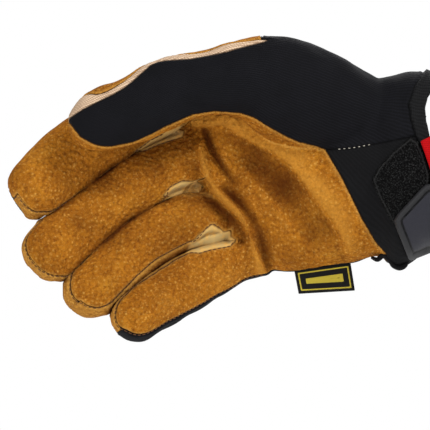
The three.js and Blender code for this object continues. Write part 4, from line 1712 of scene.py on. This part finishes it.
@dataclass
class Stage:
    """Camera at the photograph's angle, soft lights and a pale floor."""

    width: float = 195.45
    centre: tuple[float, float] = (-100.45, -22.73)
    distance: float = 2.4
    sensor: float = 36.0
    # Columns: name, place, size, power
    lamps: tuple[tuple[str, tuple[float, float, float], float, float], ...] = (
        ("key", (0.6, -0.7, 0.95), 0.4, 12.5),
        ("fill", (-0.9, -1.0, 0.3), 0.6, 6.0),
        ("back", (0.1, 0.9, 0.7), 0.8, 8.0),
    )
    lit: tuple[float, float, float] = (-0.09, 0.0, 0.0)
    floor_size: float = 3000.0
    floor_height: float = -420.0
    floor_glow: float = 0.3

    def build(self) -> None:
        """Sets the whole stage."""
        self.add_camera()
        for lamp in self.lamps:
            self.add_lamp(*lamp)
        self.add_sky()
        self.add_floor()
        bpy.context.scene.view_settings.view_transform = "Standard"

    def add_camera(self) -> None:
        """The camera, level and square to the palm."""
        data = bpy.data.cameras.new("camera")
        data.sensor_width = self.sensor
        data.lens = data.sensor_width * self.distance / (self.width * MM)
        data.clip_end = 20.0
        camera = place_object("camera", data)
        camera.location = (self.centre[0] * MM, -self.distance, self.centre[1] * MM)
        camera.rotation_euler = (math.pi / 2, 0, 0)
        bpy.context.scene.camera = camera

    def add_lamp(self, name: str, place: tuple[float, float, float], size: float, power: float) -> None:
        """A square lamp that looks at the middle of the glove."""
        data = bpy.data.lights.new(name, "AREA")
        data.size = size
        data.energy = power
        lamp = place_object(name, data)
        lamp.location = place
        away = np.array(place) - np.array(self.lit)
        flat = math.hypot(away[0], away[1])
        lamp.rotation_euler = (math.atan2(flat, away[2]), 0, math.atan2(away[1], away[0]) + math.pi / 2)
        lamp.visible_camera = False

    def add_sky(self) -> None:
        """White all round at eye level, and dimmer above and below."""
        world = bpy.data.worlds.new("studio")
        world.use_nodes = True
        tree = world.node_tree
        sky = tree.nodes.new("ShaderNodeTexCoord")
        parts = tree.nodes.new("ShaderNodeSeparateXYZ")
        tree.links.new(sky.outputs["Generated"], parts.inputs[0])
        height = tree.nodes.new("ShaderNodeMath")
        height.operation = "ABSOLUTE"
        tree.links.new(parts.outputs[2], height.inputs[0])
        band = tree.nodes.new("ShaderNodeMapRange")
        band.interpolation_type = "SMOOTHSTEP"
        for key, value in {"From Min": 0.12, "From Max": 0.3, "To Min": 1.0, "To Max": 0.35}.items():
            band.inputs[key].default_value = value
        tree.links.new(height.outputs[0], band.inputs["Value"])
        background = tree.nodes["Background"]
        background.inputs["Color"].default_value = (1, 1, 1, 1)
        tree.links.new(band.outputs[0], background.inputs["Strength"])
        bpy.context.scene.world = world

    def add_floor(self) -> None:
        """A wide pale floor, well under the glove."""
        signs = np.array([(-1.0, -1, 0), (1, -1, 0), (1, 1, 0), (-1, 1, 0)])
        corners = signs * self.floor_size + np.array([0, 0, self.floor_height])
        floor = make_object("floor", corners, np.array([[0, 1, 2, 3]]))
        pale = Plain("pale_floor", linear(242, 242, 240), linear(238, 238, 236), 0.8, 4.0).material()
        glow = pale.node_tree.nodes["Principled BSDF"].inputs
        glow["Emission Color"].default_value = (1, 1, 1, 1)
        glow["Emission Strength"].default_value = self.floor_glow
        floor.data.materials.append(pale)


# The glove

ATTRIBUTES = ("hollow", "along", "wrap", "edge")
DRESS = {
    "thumb_gusset": (PALE_CLOTH, "pale_strip"),
    "gusset_index_middle": (SIDE_SUEDE, "cream_leather"),
    "gusset_middle_ring": (SIDE_SUEDE, "cream_leather"),
    "gusset_ring_little": (SIDE_SUEDE, "cream_leather"),
    "cuff_binding": (BINDING_CLOTH, "black_fabric"),
    "thumb_back_panel": (BLACK_CLOTH, "black_fabric"),
    "wrist_panel": (WRIST_CLOTH, "black_fabric"),
    "palm_leather": (PALM_SUEDE, "suede"),
    "hand_back_panel": (BLACK_CLOTH, "black_fabric"),
}
PLATES = (
    (LOOP_PATCH, Pile(), "black_loop"),
    (CLOSURE_TAB, Rubber(), "dark_rubber"),
    (PULL_TAB, RED_CLOTH, "red_fabric"),
    (SIDE_LABEL, WovenLabel(), "woven_label"),
)


@dataclass
class Glove:
    """The whole glove: its panels and what is sewn onto them."""

    hand: HandForm = field(default_factory=HandForm)
    # Folds lie where the skin's normal points out of the palm, and end on a slanted line at the wrist
    fold_facing: tuple[float, float] = (0.1, -0.5)
    fold_end: tuple[float, float] = (-45.0, -51.0)
    fold_slant: float = 0.55
    # Painted shade in creases, found by smoothing rounds; random patches of tone and their size; darker
    # tone on two fingers; painted shade where fingers touch
    close_rounds: int = 25
    close_tone: float = 0.22
    patch_tone: float = 0.27
    patch_size: float = 13.0
    finger_tones: tuple[tuple[str, float], ...] = (("ring", 0.12), ("middle", 0.07))
    touch_tone: float = 1.1
    wrap_radius: float = 15.0
    # Columns: distance inside the binding's edge, width, height
    ridges: tuple[tuple[float, float, float], ...] = ((1.5, 0.8, 0.5), (7.6, 0.9, 0.35))
    hem_sides: int = 16
    hem_rings: int = 60
    hem_height: float = 1.6
    # Points in the running mean of a finger's seam, and how far its stitches lie in and up
    seam_mean: int = 7
    stitch_in: float = 0.5
    stitch_up: float = 0.15

    def finish(self, piece: bpy.types.Object, material: bpy.types.Material, node: str, slot: str) -> None:
        """Dresses a piece and sets it in the frame.

        Args:
            piece: The new object.
            material: Its material.
            node: The CAD node it stands for.
            slot: The record's material slot. Not used.
        """
        piece.data.materials.append(material)
        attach(piece, BODY)
        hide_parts(node)
        LOG.info("%s: %d triangles", piece.name, sum(len(p.vertices) - 2 for p in piece.data.polygons))

    def fold(self, skin: Skin) -> None:
        """Presses the folds into the palm side, and notes each point's painted shade and highlight, with
        its tone.
        """
        x, _, z = skin.points.T
        normal = skin.normals()
        face = smooth_step(*self.fold_facing, normal[:, 1]) * (1 - skin.data["thumb_weight"])
        face = face * smooth_step(*self.fold_end, x + self.fold_slant * z)
        pressed = [one.press(x, z) for one in FOLDS]
        total = sum(move for move, _ in pressed) * face
        skin.points[:, 1] += total
        # Painted shade in creases and painted highlight on ridges: the depth less its smoothed value
        close = total - skin.relax(total, self.close_rounds)
        shade = sum(shade for _, shade in pressed) * face + close * self.close_tone
        skin.data["hollow"] = np.clip(shade + self.tone(skin), -1, 1)
        self.raise_binding(skin, normal)

    def tone(self, skin: Skin) -> Array:
        """How much darker the leather is: in random patches, on two fingers, and by painted shade where
        fingers touch.
        """
        data = skin.data
        patches = self.patch_tone * soft_noise(skin.points, self.patch_size, 3)
        fingers = sum(more * data[f"{name}_weight"] for name, more in self.finger_tones)
        return patches + fingers + self.touch_tone * data["contact"] * (1 - data["palm_weight"])

    def raise_binding(self, skin: Skin, normal: Array) -> None:
        """Raises the cuff's binding with its two ridges, and makes the cloth slightly uneven."""
        x, _, z = skin.points.T
        collar = line_side(x, z, BINDING_EDGE)
        band = 0.5 * smooth_step(-0.3, 0.3, collar)
        for place, width, height in self.ridges:
            band += height * bell(collar - place, width)
        skin.points += normal * band[:, None]
        rough = soft_noise(skin.points, 10.0, 1) * 0.35 + soft_noise(skin.points, 4.2, 2) * 0.12
        skin.points += normal * (rough * smooth_step(-8.0, -30.0, x))[:, None]

    def bare(self, skin: Skin) -> Array:
        """Where the gussets show the leather's smooth side: round the roots of the fingers."""
        x, _, z = skin.points.T
        depth = [outline_depth(x, z, outline) for outline in ROOT_OUTLINES.values()]
        return smooth_step(-2.5, -0.5, np.maximum.reduce(depth))

    def join_tips(self, piece: Skin, name: str) -> None:
        """Takes the seam off a gusset where it runs on round a fingertip into the next one."""
        for finger, side in GUSSETS[name]:
            share = piece.data[f"{finger}_share"]
            around = piece.data[f"{finger}_around"]
            seam = FRONT_SEAMS[finger, side].angle(np.clip(share, 0, 1))
            inner = np.minimum(around - seam, BACK_SEAM - around) * piece.data[f"{finger}_radius"]
            middle = smooth_step(4.0, 1.5, np.abs(piece.data[f"{finger}_across"]))
            piece.data["edge"] += 4.0 * middle * smooth_step(0.3, 1.0, inner) * (share > 0.8)

    def groove(self, piece: Skin) -> Skin:
        """The piece with its seams drawn in and the edge beside them rolled.

        The move along the normal is 0.3 exp(-((e - 1.3) / 0.8)^2) - 0.45 exp(-(e / 0.45)^2),
        where e is the distance to the nearest seam.
        """
        edge = piece.data["edge"]
        move = 0.3 * bell(edge - 1.3, 0.8) - 0.45 * bell(edge, 0.45)
        return Skin(piece.points + piece.kept_normals() * move[:, None], piece.faces, piece.data)

    def build(self) -> None:
        """Makes every piece."""
        skin = self.hand.skin()
        LOG.info("skin: %d triangles", len(skin.faces))
        self.fold(skin)
        Panels(skin).fields()
        for name in ("trim", *PANEL_ORDER):
            skin.data[name] = skin.even_field(skin.data[name])
        for axis, values in zip(NORMAL_FIELDS, skin.normals().T):
            skin.data[axis] = values
        skin.data["along"] = skin.data["thumb_share"] * DIGITS["thumb"].length
        angle = np.arctan2(skin.data["thumb_across"], -skin.data["thumb_depth"])
        skin.data["wrap"] = angle * self.wrap_radius
        skin.data["edge"] = np.full(len(skin.points), 99.0)
        skin.data["bare"] = self.bare(skin)
        rest, _ = skin.split("trim")
        pieces = {}
        for name in PANEL_ORDER:
            rest.data["edge"] = np.minimum(rest.data["edge"], np.abs(rest.data[name]))
            pieces[name], rest = rest.split(name)
        pieces["hand_back_panel"] = rest
        materials = {}
        for name, (finish, slot) in DRESS.items():
            if finish.name not in materials:
                materials[finish.name] = finish.material()
            if name in GUSSETS:
                self.join_tips(pieces[name], name)
            wall = self.groove(pieces[name]).thickened(WALL)
            piece = wall.mesh(f"{name}_cloth", (*ATTRIBUTES, "bare"))
            self.finish(piece, materials[finish.name], name, slot)
        self.finish(self.hem(), materials[WRIST_CLOTH.name], "wrist_panel", "black_fabric")
        front = Front(skin.points[skin.normals()[:, 1] < -0.15])
        self.sew_plates(front)
        self.sew_seams(front, pieces["palm_leather"])

    def hem(self) -> bpy.types.Object:
        """The rolled hem that the wrist panel ends in at its lower corner, a bent tube."""
        path = evenly(spline(np.array(HEM), 12), self.hem_rings)
        tangent = unit(np.gradient(path[:, :3], axis=0))
        side = unit(np.cross(tangent, [0.0, 1.0, 0.0]))
        up = np.cross(side, tangent)
        angle = np.arange(self.hem_sides) * 2 * math.pi / self.hem_sides
        rise = self.hem_height * np.sin(angle)[:, None] * up[:, None]
        spoke = np.cos(angle)[:, None] * side[:, None] + rise
        points, quads = closed_tube(path[:, None, :3] + path[:, 3][:, None, None] * spoke)
        along, _, wrap = points.T
        attributes = {"along": along, "wrap": wrap, "edge": along * 0 + 9}
        return make_object("wrist_hem", points, quads, attributes)

    def sew_plates(self, front: Front) -> None:
        """Makes the parts that lie on the wrist, and the label at the side."""
        for plate, finish, slot in PLATES:
            piece = plate.skin(front).mesh(f"{plate.name}_cloth", (*ATTRIBUTES, "inside"))
            self.finish(piece, finish.material(), plate.name, slot)

    def finger_seam(self, leather: Skin, name: str) -> tuple[Array, Array]:
        """The palm leather's seam round one finger, in order.

        Args:
            leather: The palm leather.
            name: The finger.

        Returns:
            The seam's points, drawn in and raised for stitches, and the leather's normals there.
        """
        form = DIGITS[name]
        rim = np.unique(leather.rim())
        share = leather.data[f"{name}_share"]
        own = rim[(leather.data[f"{name}_weight"][rim] > 0.6) & (share[rim] > 0.3)]
        ahead = share[own] * form.length - (form.length - TIP_LENGTH)
        across = leather.data[f"{name}_across"][own]
        beside = np.sign(across) * (math.pi / 2 - ahead / TIP_LENGTH)
        order = own[np.argsort(np.where(ahead > 0, np.arctan2(across, ahead), beside))]
        kernel = np.ones(self.seam_mean) / self.seam_mean
        lost = self.seam_mean // 2
        path, ups = [
            np.stack([np.convolve(column, kernel, "valid") for column in rows[order].T], axis=1)
            for rows in (leather.points, leather.kept_normals())
        ]
        inner = form.at(form.line, share[order][lost:-lost] * (form.stations - 1)) - path
        inner = unit(inner - (inner * ups).sum(axis=1, keepdims=True) * ups)
        return path + inner * self.stitch_in + ups * self.stitch_up, ups

    def sew_seams(self, front: Front, leather: Skin) -> None:
        """Sets the stitches along the seams of the fingers, and the pale ones at the wrist."""
        points, quads, first = [], [], 0
        for name in FINGERS:
            rods, faces = Stitches().rods(*self.finger_seam(leather, name))
            points.append(rods)
            quads.append(faces + first)
            first += len(rods)
        seam = make_object("finger_stitches", np.vstack(points), np.vstack(quads))
        self.finish(seam, DARK_THREAD.material(), "palm_leather", "suede")
        line = spline(np.array([(x, 0.0, z) for x, z in WRIST_STITCHES]), 12)
        line[:, 1] = front.height(line[:, 0], line[:, 2]) - 0.2
        up = np.tile([0.0, -1.0, 0.0], (len(line), 1))
        rods, faces = Stitches(2.3, 1.0, 0.2).rods(line, up)
        pale = make_object("wrist_stitches", rods, faces)
        self.finish(pale, PALE_THREAD.material(), "wrist_panel", "black_fabric")


def main() -> None:
    """Builds the stage and the glove in order."""
    logging.basicConfig(level=logging.INFO, format="%(message)s")
    Stage().build()
    Glove().build()


if __name__ == "__main__":
    main()
